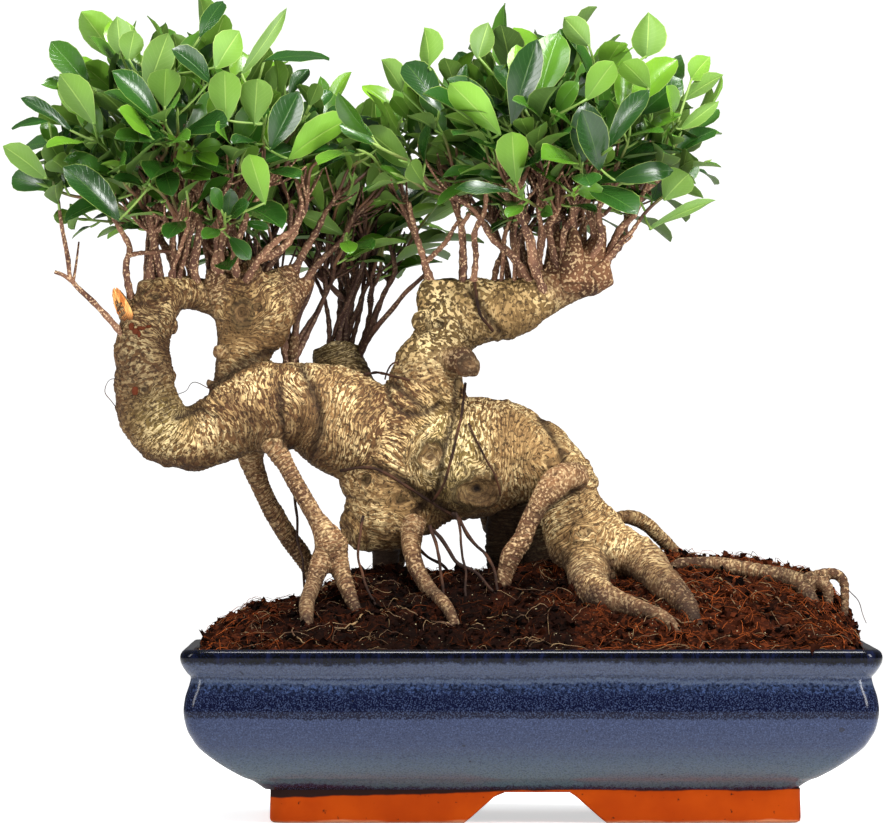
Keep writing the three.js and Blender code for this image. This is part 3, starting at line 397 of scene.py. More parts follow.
# Large single leaves that shape the outline and the front: tip, base, width, tone from 0, old and
# dark, to 1, young and lime.
LEADING_LEAVES = [
    ((-200, -25, 533), (-215, -54, 508), 14, 0.15), ((-159, -6, 529), (-188, -61, 484), 10, 0.35),
    ((-189, -51, 513), (-204, -64, 488), 22, 0.8), ((-269, -42, 523), (-266, -58, 497), 17, 0.5),
    ((-257, -59, 513), (-261, -61, 493), 17, 0.6), ((-235, -64, 511), (-249, -71, 471), 21, 0.5),
    ((-232, -87, 500), (-207, -76, 478), 21, 0.1), ((-236, -89, 487), (-237, -76, 462), 22, 0.7),
    ((-198, -85, 486), (-197, -71, 453), 22, 0.75), ((-177, -79, 481), (-179, -66, 451), 22, 0.6),
    ((-150, -63, 473), (-169, -62, 435), 21, 0.15), ((-306, -54, 485), (-283, -60, 452), 22, 0.6),
    ((-332, -34, 470), (-298, -50, 448), 11, 0.1), ((-338, -30, 450), (-312, -52, 454), 9, 0.3),
    ((-344, -18, 439), (-315, -40, 417), 18, 0.65), ((-303, -68, 424), (-266, -61, 389), 24, 0.12),
    ((-116, -14, 458), (-158, -56, 429), 24, 0.95), ((-182, -80, 432), (-172, -56, 400), 18, 0.9),
    ((-131, -6, 496), (-174, -51, 493), 17, 0.2), ((-271, -84, 486), (-241, -75, 453), 20, 0.3),
    ((78, -6, 527), (76, -40, 496), 24, 0.5), ((-52, -85, 478), (-19, -66, 445), 22, 0.95),
    ((-81, -24, 493), (-58, -52, 461), 22, 0.12), ((5, -73, 507), (-12, -66, 452), 22, 0.1),
    ((-12, -88, 446), (-9, -66, 413), 22, 0.85), ((33, -86, 461), (45, -66, 422), 23, 0.1),
    ((77, -77, 474), (50, -71, 436), 18, 0.15), ((93, -62, 422), (54, -62, 415), 17, 0.15),
    ((103, -52, 420), (87, -45, 403), 23, 0.55), ((122, -4, 404), (78, -30, 384), 9, 0.6),
    ((124, -4, 469), (98, -40, 449), 10, 0.5), ((127, -4, 486), (100, -36, 468), 13, 0.55),
    ((118, -6, 498), (105, -31, 482), 16, 0.8), ((22, -46, 522), (39, -54, 503), 17, 0.5),
    ((54, -78, 492), (36, -71, 467), 19, 0.85), ((60, -75, 492), (78, -56, 475), 19, 0.8),
    ((-69, -6, 517), (-66, -38, 489), 20, 0.6), ((-97, -6, 496), (-83, -31, 474), 17, 0.5),
    ((-27, -39, 519), (-34, -53, 495), 17, 0.4), ((-109, -6, 451), (-78, -44, 424), 20, 0.45),
    ((-49, -71, 410), (-12, -69, 408), 12, 0.1), ((-151, 20, 395), (-121, 22, 381), 13, 0.5),
    ((-78, 13, 395), (-55, 50, 402), 9, 0.8), ((-121, 10, 424), (-116, 14, 401), 16, 0.45),
]
FRONT_UP = np.array([0, -0.75, 0.66])


# ---- numpy helpers ---------------------------------------------------------------------------------
def unit(v):
    """Each vector over its own length."""
    return v / np.maximum(np.linalg.norm(v, axis=-1, keepdims=True), 1e-9)


def dot(a, b):
    """The dot product of each pair of vectors, in a last axis of one."""
    return (a * b).sum(axis=-1, keepdims=True)


def noise(points, size, seed=0):
    """Smooth noise from -1 to 1: a random number at each corner of a cubic lattice with cells of the
    given size, blended across each cell by 3t^2 - 2t^3 along every axis."""
    place = np.asarray(points, float) / size
    cell = np.floor(place).astype(np.int64)
    t = place - cell
    t = t * t * (3 - 2 * t)
    total = np.zeros(place.shape[:-1])
    for corner in product((0, 1), repeat=3):
        c = cell + corner
        key = (c[..., 0] * 73856093) ^ (c[..., 1] * 19349663) ^ (c[..., 2] * 83492791)
        key = (key + seed * 374761393) & 0xFFFFFFFF
        key = ((key ^ (key >> 13)) * 1274126177) & 0xFFFFFFFF
        key = ((key ^ (key >> 16)) * 2246822519) & 0xFFFFFFFF
        weight = np.prod(np.where(np.array(corner) == 1, t, 1 - t), axis=-1)
        total += weight * ((key ^ (key >> 15)) / 2147483648.0 - 1)
    return total


def layered_noise(points, size, layers, seed=0):
    """Noise summed over layers, each half as coarse and half as strong as the one before."""
    return sum(noise(points, size / 2**k, seed + k) / 2**k for k in range(layers))


def drift(points, size, seed):
    """A smooth noise along each axis."""
    return np.stack([noise(points, size, seed + k) for k in range(3)], -1)


def run_of(path):
    """How far along straight lines through its points each point of a path lies."""
    return np.concatenate([[0], np.cumsum(np.linalg.norm(np.diff(path[:, :3], axis=0), axis=1))])


def rows_at(where, known, rows):
    """Rows at other places than those known, by straight steps between them."""
    return np.stack([np.interp(where, known, column) for column in rows.T], -1)


def curve(points, count):
    """A Catmull-Rom curve through the rows of points, at count even steps of chord length."""
    p = np.asarray(points, float)
    chord = run_of(p)
    where = np.interp(np.linspace(0, chord[-1], count), chord, np.arange(len(p)))
    k = np.minimum(where.astype(int), len(p) - 2)
    t = (where - k)[:, None]
    padded = np.vstack([2 * p[0] - p[1], p, 2 * p[-1] - p[-2]])
    a, b, c, d = (padded[k + i] for i in range(4))
    return b + 0.5 * t * (c - a + t * (2 * a - 5 * b + 4 * c - d + t * (3 * (b - c) + d - a)))


def bezier(start, bend, end, count):
    """Quadratic curves (1-t)^2 start + 2t(1-t) bend + t^2 end, for arrays of points [curve, 3]."""
    t = np.linspace(0, 1, count)[None, :, None]
    return (1 - t) ** 2 * start[:, None] + 2 * t * (1 - t) * bend[:, None] + t**2 * end[:, None]


def tubes(paths, radii, sides):
    """Closed tubes round paths [tube, station, 3]: at every station a ring of the given radius lies
    across the path, turned from the axis that the path leans on least, with a flat cap at each end."""
    paths = np.asarray(paths, float)
    tangent = unit(np.gradient(paths, axis=1))
    axes = np.eye(3)
    reference = axes[np.abs(tangent).max(axis=1).argmin(axis=1)][:, None, :]
    side = unit(np.cross(tangent, reference))
    other = np.cross(tangent, side)
    angle = np.arange(sides) * (2 * np.pi / sides)
    ring = (side[:, :, None] * np.cos(angle)[:, None] + other[:, :, None] * np.sin(angle)[:, None])
    points = paths[:, :, None] + ring * np.asarray(radii, float)[..., None, None]
    index = np.arange(points.size // 3).reshape(points.shape[:3])
    a, b = index[:, :-1], index[:, 1:]
    quads = np.stack([a, np.roll(a, -1, 2), np.roll(b, -1, 2), b], -1).reshape(-1, 4)
    caps = np.concatenate([index[:, 0, ::-1], index[:, -1]])
    return points.reshape(-1, 3), [quads, caps]


def joined(forms):
    """Several forms, each its points and face arrays, as one."""
    points, faces, start = [], [], 0
    for form_points, form_faces in forms:
        points.append(form_points)
        faces.extend(face + start for face in form_faces)
        start += len(form_points)
    return np.concatenate(points), faces


def copies(faces, count, each):
    """The faces of one form again for each of its copies, which have so many points each."""
    start = (np.arange(count) * each)[:, None, None]
    return (faces[None] + start).reshape(-1, faces.shape[1])


# ---- meshes -----------------------------------------------------------------------------------------
def set_points(mesh, points):
    """Moves the mesh's points to places in millimetres from the pot's middle."""
    mesh.vertices.foreach_set("co", ((points + POT_MIDDLE) * MM).astype(np.float32).ravel())


def set_values(mesh, **values):
    """Keeps one number for each point under each attribute's name."""
    for key, numbers in values.items():
        attribute = mesh.attributes.new(key, "FLOAT", "POINT")
        attribute.data.foreach_set("value", np.asarray(numbers, np.float32))


def new_mesh(name, points, faces, uv=None, values=()):
    """A mesh from points in millimetres from the pot's middle and face arrays [face, corner]. uv has
    a row for each corner, and values a number for each point under its attribute's name."""
    mesh = bpy.data.meshes.new(name)
    corners = np.concatenate([face.ravel() for face in faces])
    sizes = np.concatenate([np.full(len(face), face.shape[1]) for face in faces])
    mesh.vertices.add(len(points))
    set_points(mesh, points)
    mesh.loops.add(len(corners))
    mesh.loops.foreach_set("vertex_index", corners.astype(np.int32))
    mesh.polygons.add(len(sizes))
    starts = np.concatenate([[0], np.cumsum(sizes)[:-1]])
    mesh.polygons.foreach_set("loop_start", starts.astype(np.int32))
    mesh.update(calc_edges=True)
    mesh.validate()
    if uv is not None:
        layer = mesh.uv_layers.new(name="pattern")
        layer.data.foreach_set("uv", uv.astype(np.float32).ravel())
    set_values(mesh, **dict(values))
    return mesh


def new_piece(name, mesh, material, sharp_angle=None):
    """An object for a finished mesh, smooth but for edges sharper than sharp_angle in degrees."""
    mesh.shade_smooth()
    if sharp_angle is not None:
        mesh.set_sharp_from_angle(angle=np.radians(sharp_angle))
    mesh.materials.clear()
    mesh.materials.append(material)
    piece = bpy.data.objects.new(name, mesh)
    bpy.context.scene.collection.objects.link(piece)
    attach(piece, "root")
    return piece


def add_piece(name, form, material, slot, sharp_angle=None, **values):
    """A piece from points and faces, with values at its points."""
    return new_piece(name, new_mesh(name, *form, values=values), material, sharp_angle)


def modified(mesh, *steps):
    """The mesh after a row of modifiers, each a type and its settings."""
    holder = bpy.data.objects.new("holder", mesh)
    bpy.context.scene.collection.objects.link(holder)
    for kind, settings in steps:
        modifier = holder.modifiers.new(kind.lower(), kind)
        for key, value in settings.items():
            setattr(modifier, key, value)
    shown = holder.evaluated_get(bpy.context.evaluated_depsgraph_get())
    result = bpy.data.meshes.new_from_object(shown)
    bpy.data.objects.remove(holder)
    return result


def mesh_arrays(mesh):
    """Points in millimetres from the pot's middle, and the normals at them."""
    points = np.empty(3 * len(mesh.vertices), np.float32)
    normals = np.empty_like(points)
    mesh.vertices.foreach_get("co", points)
    mesh.vertex_normals.foreach_get("vector", normals)
    return points.reshape(-1, 3).astype(float) / MM - POT_MIDDLE, normals.reshape(-1, 3).astype(float)


# ---- shader helpers ---------------------------------------------------------------------------------
def tint(red, green, blue):
    """A screen colour from 0 to 255 as a linear shader colour."""
    c = np.array([red, green, blue]) / 255
    linear = np.where(c <= 0.04045, c / 12.92, ((c + 0.055) / 1.055) ** 2.4)
    return (*linear.tolist(), 1.0)


class Nodes:
    """A node tree with short ways to add nodes. An input is a socket to join or a value to set."""

    def __init__(self, tree):
        self.tree = tree

    def add(self, kind, inputs=(), **settings):
        node = self.tree.nodes.new("ShaderNode" + kind)
        for key, value in settings.items():
            setattr(node, key, value)
        for key, value in dict(inputs).items():
            if isinstance(value, bpy.types.NodeSocket):
                self.tree.links.new(value, node.inputs[key])
            else:
                node.inputs[key].default_value = value
        return node

    def place(self):
        """Where each point lies on the object, in metres."""
        return self.add("TexCoord").outputs["Object"]

    def value(self, name):
        """A number that the mesh keeps for each point."""
        return self.add("Attribute", attribute_name=name).outputs["Fac"]

    def axes(self, vector):
        return self.add("SeparateXYZ", {"Vector": vector}).outputs

    def mix(self, share, first, second):
        return self.add("MixRGB", {"Fac": share, "Color1": first, "Color2": second}).outputs["Color"]

    def math(self, operation, first, second=0.0):
        return self.add("Math", {0: first, 1: second}, operation=operation).outputs[0]

    def times(self, first, second):
        return self.math("MULTIPLY", first, second)

    def plus(self, first, second):
        return self.math("ADD", first, second)

    def minus(self, first, second):
        return self.math("SUBTRACT", first, second)

    def lay(self, color, share, strength, over):
        """A colour with a screen colour over it, as much as the share times the strength."""
        return self.mix(self.times(share, strength), color, tint(*over))

    def span(self, value, low, high, to_low=0.0, to_high=1.0):
        """A smooth step: the first end up to low, the second end from high on."""
        ends = {"Value": value, "From Min": low, "From Max": high, "To Min": to_low, "To Max": to_high}
        return self.add("MapRange", ends, interpolation_type="SMOOTHSTEP").outputs["Result"]

    def ramp(self, share, stops):
        """Colours joined by straight steps. A stop is a position from 0 to 1 and a screen colour."""
        node = self.add("ValToRGB", {"Fac": share})
        elements = node.color_ramp.elements
        while len(elements) < len(stops):
            elements.new(0.5)
        for element, (position, *color) in zip(elements, stops):
            element.position, element.color = position, tint(*color)
        return node.outputs["Color"]

    def flecks(self, **inputs):
        """The mask and the grain of the shared group of flecks."""
        given = {key.capitalize(): value for key, value in inputs.items()}
        node = self.add("Group", given, node_tree=FLECKS)
        return node.outputs["Mask"], node.outputs["Grain"]


def new_flecks():
    """A shared group: noise in four dimensions, cut at a level with a soft edge. Mask is where the
    noise is over the level, and Grain is the noise itself."""
    group = bpy.data.node_groups.new("flecks", "ShaderNodeTree")
    sockets = group.interface.new_socket
    sockets("Place", in_out="INPUT", socket_type="NodeSocketVector")
    usual = {"Shift": 0.0, "Scale": 100.0, "Detail": 2.0, "Bend": 0.0, "Level": 0.5, "Soft": 0.05}
    for name, value in usual.items():
        sockets(name, in_out="INPUT", socket_type="NodeSocketFloat").default_value = value
    for name in ("Mask", "Grain"):
        sockets(name, in_out="OUTPUT", socket_type="NodeSocketFloat")
    nodes = Nodes(group)
    given = group.nodes.new("NodeGroupInput").outputs
    result = group.nodes.new("NodeGroupOutput")
    grain = nodes.add("TexNoise", {
        "Vector": given["Place"], "W": given["Shift"], "Scale": given["Scale"],
        "Detail": given["Detail"], "Distortion": given["Bend"],
    }, noise_dimensions="4D").outputs["Fac"]
    low = nodes.minus(given["Level"], given["Soft"])
    high = nodes.plus(given["Level"], given["Soft"])
    group.links.new(nodes.span(grain, low, high), result.inputs["Mask"])
    group.links.new(grain, result.inputs["Grain"])
    return group


FLECKS = new_flecks()


def new_material(name, **settings):
    """A material with a Principled shader, its nodes helper and that shader."""
    material = bpy.data.materials.new(name)
    material.use_nodes = True
    shader = material.node_tree.nodes["Principled BSDF"]
    for key, value in settings.items():
        shader.inputs[key.replace("_", " ")].default_value = value
    return material, Nodes(material.node_tree), shader


def join_shader(nodes, shader, color, height, depth, strength=0.6, roughness=None):
    """Joins what changes over the surface to the shader; height goes through a bump."""
    links = nodes.tree.links
    links.new(color, shader.inputs["Base Color"])
    if roughness is not None:
        links.new(roughness, shader.inputs["Roughness"])
    bump = nodes.add("Bump", {"Height": height, "Distance": depth, "Strength": strength})
    links.new(bump.outputs["Normal"], shader.inputs["Normal"])


# ---- finishes ---------------------------------------------------------------------------------------
def bark_finish():
    """Cream flecks over brown, strung out across the limb, with dark lines between them and in the
    grooves; the dark in the grooves is partly painted shade. There are more cream flecks where the bark
    is pale, which is partly painted light on surfaces that face front, back and up. The main branch has
    large cream spots on grey-olive, the middle has a green bloom, young wood and thin roots are
    red-brown with pale dots, and the bark is dark with dirt near the soil and with painted shade under
    the limbs and on those that lie in shadow."""
    material, nodes, shader = new_material("bark", Roughness=0.8, Specular_IOR_Level=0.2)
    place, along = nodes.place(), nodes.value("along")
    crease, pale, olive = nodes.value("crease"), nodes.value("pale"), nodes.value("olive")
    long_shift = nodes.times(along, 4.2)
    short_shift = nodes.times(along, 2.7)
    streaks, grain = nodes.flecks(place=place, shift=long_shift, scale=165.0, detail=3.0, bend=0.6,
                                  level=0.5, soft=0.1)
    dashes, fine = nodes.flecks(place=place, shift=short_shift, scale=255.0, detail=1.5, bend=0.4,
                                level=0.495, soft=0.03)
    spots, _ = nodes.flecks(place=place, shift=along, scale=350.0, detail=0.3, bend=0.3,
                            level=0.52, soft=0.025)
    pits, _ = nodes.flecks(place=place, shift=4.0, scale=430.0, detail=1.0, level=0.6, soft=0.03)
    broad, patch = nodes.flecks(place=place, shift=along, scale=30.0, detail=3.0, level=0.5,
                                soft=0.14)
    dots, _ = nodes.flecks(place=place, shift=7.0, scale=520.0, detail=0.5, level=0.58, soft=0.03)

    # Brown ground, olive, worn or mossy in places, and darker between the streaks.
    ground = nodes.mix(broad, tint(84, 55, 31), tint(126, 91, 54))
    ground = nodes.lay(ground, olive, 0.75, (104, 87, 50))
    worn = nodes.value("worn")
    ground = nodes.lay(ground, worn, 0.75, (166, 130, 82))
    ground = nodes.lay(ground, nodes.value("moss"), 0.5, (106, 102, 46))
    ground = nodes.lay(ground, nodes.span(streaks, 0.0, 1.0, 0.5, 0.0), 0.7, (60, 41, 26))

    # Cream flecks, or cream spots on olive bark, more of them where the bark is pale, which is partly
    # painted light; and small dark pits.
    cream = nodes.mix(nodes.span(patch, 0.38, 0.62), tint(204, 168, 112), tint(240, 214, 158))
    plain = nodes.times(dashes, nodes.span(streaks, 0.0, 1.0, 0.35, 1.0))
    mask = nodes.plus(nodes.times(plain, nodes.minus(1.0, olive)), nodes.times(spots, olive))
    amount = nodes.times(mask, nodes.span(pale, 0.0, 1.0, 0.25, 1.0))
    amount = nodes.times(amount, nodes.span(patch, 0.36, 0.5, 0.5, 1.0))
    amount = nodes.times(amount, nodes.span(worn, 0.0, 1.0, 1.0, 0.8))
    color = nodes.mix(amount, ground, cream)
    color = nodes.lay(color, pits, 0.7, (52, 35, 22))

    # The skin of young wood, the dark lines of wrinkles, and the dark of creases and hollows, which is
    # partly painted shade.
    skin = nodes.mix(broad, tint(72, 45, 31), tint(120, 82, 56))
    skin = nodes.lay(skin, dots, 0.75, (204, 172, 130))
    color = nodes.mix(nodes.value("young"), color, skin)
    beat = nodes.math("SINE", nodes.times(along, np.pi / (WRINKLE * MM)))
    line = nodes.span(nodes.math("ABSOLUTE", beat), 0.1, 0.5, 1.0, 0.0)
    line = nodes.times(line, nodes.span(nodes.value("rough"), 0.25, 0.9, 0.15, 0.75))
    color = nodes.mix(line, color, tint(62, 43, 27))
    color = nodes.lay(color, crease, 0.9, (40, 26, 16))

    # Knots: a dark ring outside, wavy rings inside and a dark hole.
    knot = nodes.value("knot")
    ripple = nodes.math("SINE", nodes.plus(nodes.times(knot, 40.0), nodes.times(fine, 11.0)))
    inside = nodes.span(knot, 0.3, 0.44)
    color = nodes.lay(color, inside, 0.55, (120, 92, 60))
    rings = nodes.times(nodes.span(ripple, 0.2, 0.9), inside)
    color = nodes.lay(color, rings, 0.6, (60, 42, 26))
    around = nodes.times(nodes.span(knot, 0.14, 0.27), nodes.span(knot, 0.32, 0.42, 0.6, 0.0))
    color = nodes.mix(around, color, tint(50, 40, 22))
    color = nodes.mix(nodes.span(knot, 0.8, 0.9), color, tint(20, 12, 7))
    # Dark with dirt near the soil, and painted shade under the limbs and on those that lie in shadow.
    color = nodes.mix(nodes.value("earth_and_shade"), color, tint(36, 23, 16))
    height = nodes.plus(nodes.times(grain, 1.2), nodes.times(fine, 0.8))
    height = nodes.minus(height, nodes.times(pits, 0.4))
    join_shader(nodes, shader, color=color, height=height, depth=0.0012, strength=0.9)
    return material


def twig_finish():
    """Brown young bark with small pale dots, darker and redder towards the back, which is painted shade.
    """
    material, nodes, shader = new_material("twig_bark", Roughness=0.7, Specular_IOR_Level=0.3)
    place = nodes.place()
    dots, _ = nodes.flecks(place=place, scale=680.0, detail=0.5, level=0.605, soft=0.03)
    tone, grain = nodes.flecks(place=place, scale=60.0, detail=3.0, level=0.5, soft=0.2)
    color = nodes.mix(tone, tint(80, 50, 38), tint(138, 98, 74))
    color = nodes.lay(color, dots, 0.8, (206, 172, 134))
    # Painted shade: the twigs are darker and redder towards the back of the tree.
    back = nodes.span(nodes.axes(place)["Y"], -0.01, 0.034)
    color = nodes.lay(color, back, 0.8, (44, 24, 18))
    join_shader(nodes, shader, color=color, height=grain, depth=0.0005)
    return material


def root_finish():
    """Dull dark brown skin of thin roots, tan in places."""
    material, nodes, shader = new_material("root_skin", Roughness=0.8, Specular_IOR_Level=0.2)
    tan, grain = nodes.flecks(place=nodes.place(), scale=70.0, detail=3.0, level=0.56, soft=0.12)
    color = nodes.mix(tan, tint(34, 19, 12), tint(76, 47, 30))
    join_shader(nodes, shader, color=color, height=grain, depth=0.0003)
    return material


def pale_root_finish():
    """Tan skin of the roots that lie on the soil, brown in places."""
    material, nodes, shader = new_material("pale_root", Roughness=0.65, Specular_IOR_Level=0.3)
    dark, grain = nodes.flecks(place=nodes.place(), scale=90.0, detail=2.0, level=0.48, soft=0.16)
    color = nodes.mix(dark, tint(138, 112, 76), tint(72, 46, 30))
    join_shader(nodes, shader, color=color, height=grain, depth=0.0002)
    return material


def torn_wood_finish():
    """Split orange wood, its fibres running up, and dark red resin below it."""
    material, nodes, shader = new_material("torn_wood", Roughness=0.75, Specular_IOR_Level=0.2)
    stretch = nodes.add("Mapping", {"Vector": nodes.place(), "Scale": (1.0, 1.0, 0.16)}).outputs[0]
    streak, grain = nodes.flecks(place=stretch, scale=420.0, detail=2.0, level=0.5, soft=0.15)
    color = nodes.mix(streak, tint(246, 184, 110), tint(196, 116, 54))
    height = nodes.axes(nodes.place())["Z"]
    color = nodes.mix(nodes.span(height, 0.324, 0.332, 1.0, 0.0), color, tint(84, 34, 8))
    join_shader(nodes, shader, color=color, height=grain, depth=0.0006)
    return material


def leaf_finish():
    """A blade that is dark and glossy above and paler and dull below, both by its tone up to lime,
    with a pale margin, a midrib that shows most below, and faint side veins. The pattern map holds 0
    to 1 across and along, plus 2 across below."""
    material, nodes, shader = new_material("leaf", Roughness=0.3, Specular_IOR_Level=0.62)
    across, along, _ = nodes.axes(nodes.add("UVMap", uv_map="pattern").outputs["UV"])
    below = nodes.math("GREATER_THAN", across, 1.5)
    rest = nodes.math("FLOORED_MODULO", across, 2.0)
    side = nodes.math("ABSOLUTE", nodes.minus(rest, 0.5))
    tone = nodes.value("tone")
    top = nodes.ramp(tone, [(0.0, 20, 48, 18), (0.35, 44, 88, 26), (0.6, 88, 136, 34),
                            (0.8, 120, 168, 38), (1.0, 138, 192, 50)])
    under = nodes.ramp(tone, [(0.0, 72, 100, 42), (0.35, 90, 124, 40), (0.6, 100, 140, 38),
                              (0.8, 110, 156, 36), (1.0, 124, 176, 44)])
    patchy, grain = nodes.flecks(place=nodes.place(), scale=70.0, detail=2.0, level=0.5, soft=0.25)
    top = nodes.lay(top, patchy, 0.2, (16, 52, 10))
    slant = nodes.plus(along, nodes.times(side, -0.5))
    wave = nodes.math("ABSOLUTE", nodes.math("SINE", nodes.times(slant, 34.0)))
    vein = nodes.span(wave, 0.0, 0.25, 1.0, 0.0)
    midrib = nodes.span(side, 0.008, 0.028, 1.0, 0.0)
    margin = nodes.span(side, 0.47, 0.49)
    top = nodes.lay(top, vein, 0.1, (96, 140, 66))
    top = nodes.lay(top, midrib, 0.22, (110, 150, 64))
    under = nodes.lay(under, vein, 0.14, (156, 184, 100))
    under = nodes.lay(under, midrib, 0.55, (170, 200, 96))
    color = nodes.mix(below, top, under)
    half = nodes.math("GREATER_THAN", rest, 0.5)
    shade = nodes.plus(nodes.times(half, 0.16), nodes.span(along, 0.0, 0.7, 0.3, 0.0))
    color = nodes.mix(shade, color, tint(20, 62, 8))
    color = nodes.lay(color, margin, 0.5, (168, 190, 96))
    height = nodes.minus(nodes.times(grain, 0.3), nodes.plus(midrib, nodes.times(vein, 0.2)))
    roughness = nodes.span(below, 0.0, 1.0, 0.26, 0.6)
    join_shader(nodes, shader, color=color, roughness=roughness, height=height, depth=0.0004,
                strength=0.4)
    return material


def green_stem_finish():
    """Brown bark that turns yellow-green towards the tip and on the leaf stalks."""
    material, nodes, shader = new_material("green_stem", Roughness=0.5, Specular_IOR_Level=0.4)
    place = nodes.place()
    tone, grain = nodes.flecks(place=place, scale=45.0, detail=2.0, level=0.5, soft=0.2)
    brown = nodes.mix(tone, tint(84, 54, 40), tint(122, 86, 60))
    fresh = nodes.mix(tone, tint(112, 148, 62), tint(134, 158, 78))
    color = nodes.mix(nodes.value("young"), brown, fresh)
    join_shader(nodes, shader, color=color, height=grain, depth=0.0002)
    return material


def soil_finish():
    """Dark red-brown peat with orange flecks of fibre, nearly black where there is humus."""
    material, nodes, shader = new_material("peat", Roughness=0.95, Specular_IOR_Level=0.03)
    place = nodes.place()
    humus = nodes.value("humus")
    broad, _ = nodes.flecks(place=place, scale=30.0, detail=3.0, level=0.5, soft=0.2)
    bits, grain = nodes.flecks(place=place, scale=330.0, detail=4.0, bend=0.8, level=0.56, soft=0.08)
    color = nodes.mix(broad, tint(20, 8, 4), tint(50, 21, 10))
    color = nodes.lay(color, bits, 0.55, (98, 46, 22))
    color = nodes.mix(humus, color, tint(10, 6, 5))
    grit, _ = nodes.flecks(place=place, shift=2.0, scale=720.0, detail=0.0, level=0.79, soft=0.02)
    color = nodes.mix(grit, color, tint(150, 140, 110))
    join_shader(nodes, shader, color=color, height=grain, depth=0.0022, strength=1.0)
    return material


def crumb_finish(name, dark, light):
    """Dull peat between a dark and a light colour, by the attribute tone."""
    material, nodes, shader = new_material(name, Roughness=0.92, Specular_IOR_Level=0.03)
    tone = nodes.value("tone")
    _, grain = nodes.flecks(place=nodes.place(), scale=500.0, detail=3.0, level=0.5, soft=0.2)
    join_shader(nodes, shader, color=nodes.mix(tone, dark, light), height=grain, depth=0.0006)
    return material


def glaze_finish():
    """Speckled blue glaze in level bands that wander a little: dark brown where it ends over the foot,
    slate blue on the belly, navy above it with a mottled top, a pale neck with a dark groove, and a
    near-black rim with blue streaks and a lip that is a little lighter. The paler belly with its
    lightest band at the bottom, and the pale neck, are partly painted reflection of the floor below and
    of the light above; the dark line in the groove is partly painted shade; and the lighter lip is
    partly thin glaze and partly a painted highlight."""
    material, nodes, shader = new_material("glaze", Roughness=0.15, Specular_IOR_Level=0.16)
    place = nodes.place()
    left, _, height = nodes.axes(place)
    _, wander = nodes.flecks(place=place, scale=9.0, detail=2.0, level=0.5, soft=0.2)
    _, fray = nodes.flecks(place=place, scale=380.0, detail=2.0, level=0.5, soft=0.2)
    moved = nodes.plus(height, nodes.times(nodes.minus(wander, 0.5), 0.007))
    moved = nodes.plus(moved, nodes.times(nodes.minus(fray, 0.5), 0.005))
    low = nodes.span(height, 0.022, 0.036, 1.0, 0.0)
    drip = nodes.times(nodes.span(left, -0.2, -0.02, 0.0045, 0.0), low)
    share = nodes.math("DIVIDE", nodes.minus(moved, drip), POT_TOP * MM)
    # Painted reflection in part: the lighter belly, its lightest bottom band and the pale neck; painted
    # shade in part: the dark line of the groove near 94; a painted highlight in part: the lighter lip at
    # 112.
    bands = [
        (21.0, 30, 18, 18), (23.0, 38, 32, 44), (24.5, 62, 80, 84),
        (29.0, 84, 96, 100), (50.0, 52, 59, 80), (68.2, 41, 49, 74),
        (69.0, 5, 7, 27), (83.0, 5, 7, 27), (86.5, 18, 25, 46),
        (90.5, 38, 47, 68), (92.0, 66, 74, 90), (93.6, 60, 68, 84),
        (94.2, 38, 43, 58), (95.2, 42, 48, 63), (96.0, 66, 72, 88),
        (102.6, 60, 66, 82), (104.2, 18, 21, 32), (105.2, 3, 3, 6),
        (110.3, 3, 4, 7), (111.8, 9, 10, 15), (112.7, 16, 17, 22),
    ]
    color = nodes.ramp(share, [(z / POT_TOP, *color) for z, *color in bands])
    on_rim = nodes.span(share, 0.92, 0.935)
    speck, grain = nodes.flecks(place=place, scale=1150.0, detail=1.0, level=0.56, soft=0.08)
    night, _ = nodes.flecks(place=place, shift=3.0, scale=800.0, detail=2.0, level=0.56, soft=0.07)
    amount = nodes.times(speck, nodes.span(on_rim, 0.0, 1.0, 0.26, 0.0))
    color = nodes.mix(amount, color, tint(84, 100, 138))
    color = nodes.lay(color, night, 0.4, (14, 20, 46))
    mottled = nodes.times(nodes.span(share, 0.735, 0.765), nodes.span(share, 0.795, 0.812, 1.0, 0.0))
    blots, _ = nodes.flecks(place=place, shift=5.0, scale=420.0, detail=2.0, level=0.53, soft=0.05)
    light, _ = nodes.flecks(place=place, shift=9.0, scale=520.0, detail=2.0, level=0.59, soft=0.04)
    color = nodes.lay(color, nodes.times(blots, mottled), 0.8, (7, 10, 24))
    color = nodes.lay(color, nodes.times(light, mottled), 0.6, (52, 68, 104))
    upright = nodes.add("Mapping", {"Vector": place, "Scale": (1.0, 1.0, 0.12)}).outputs[0]
    streak, _ = nodes.flecks(place=upright, scale=240.0, detail=3.0, level=0.6, soft=0.14)
    color = nodes.lay(color, nodes.times(streak, on_rim), 0.45, (20, 28, 62))
    pit, _ = nodes.flecks(place=place, shift=7.0, scale=170.0, detail=0.0, level=0.84, soft=0.01)
    color = nodes.lay(color, pit, 0.7, (34, 34, 40))
    join_shader(nodes, shader, color=color, height=grain, depth=0.00006, strength=0.35)
    return material


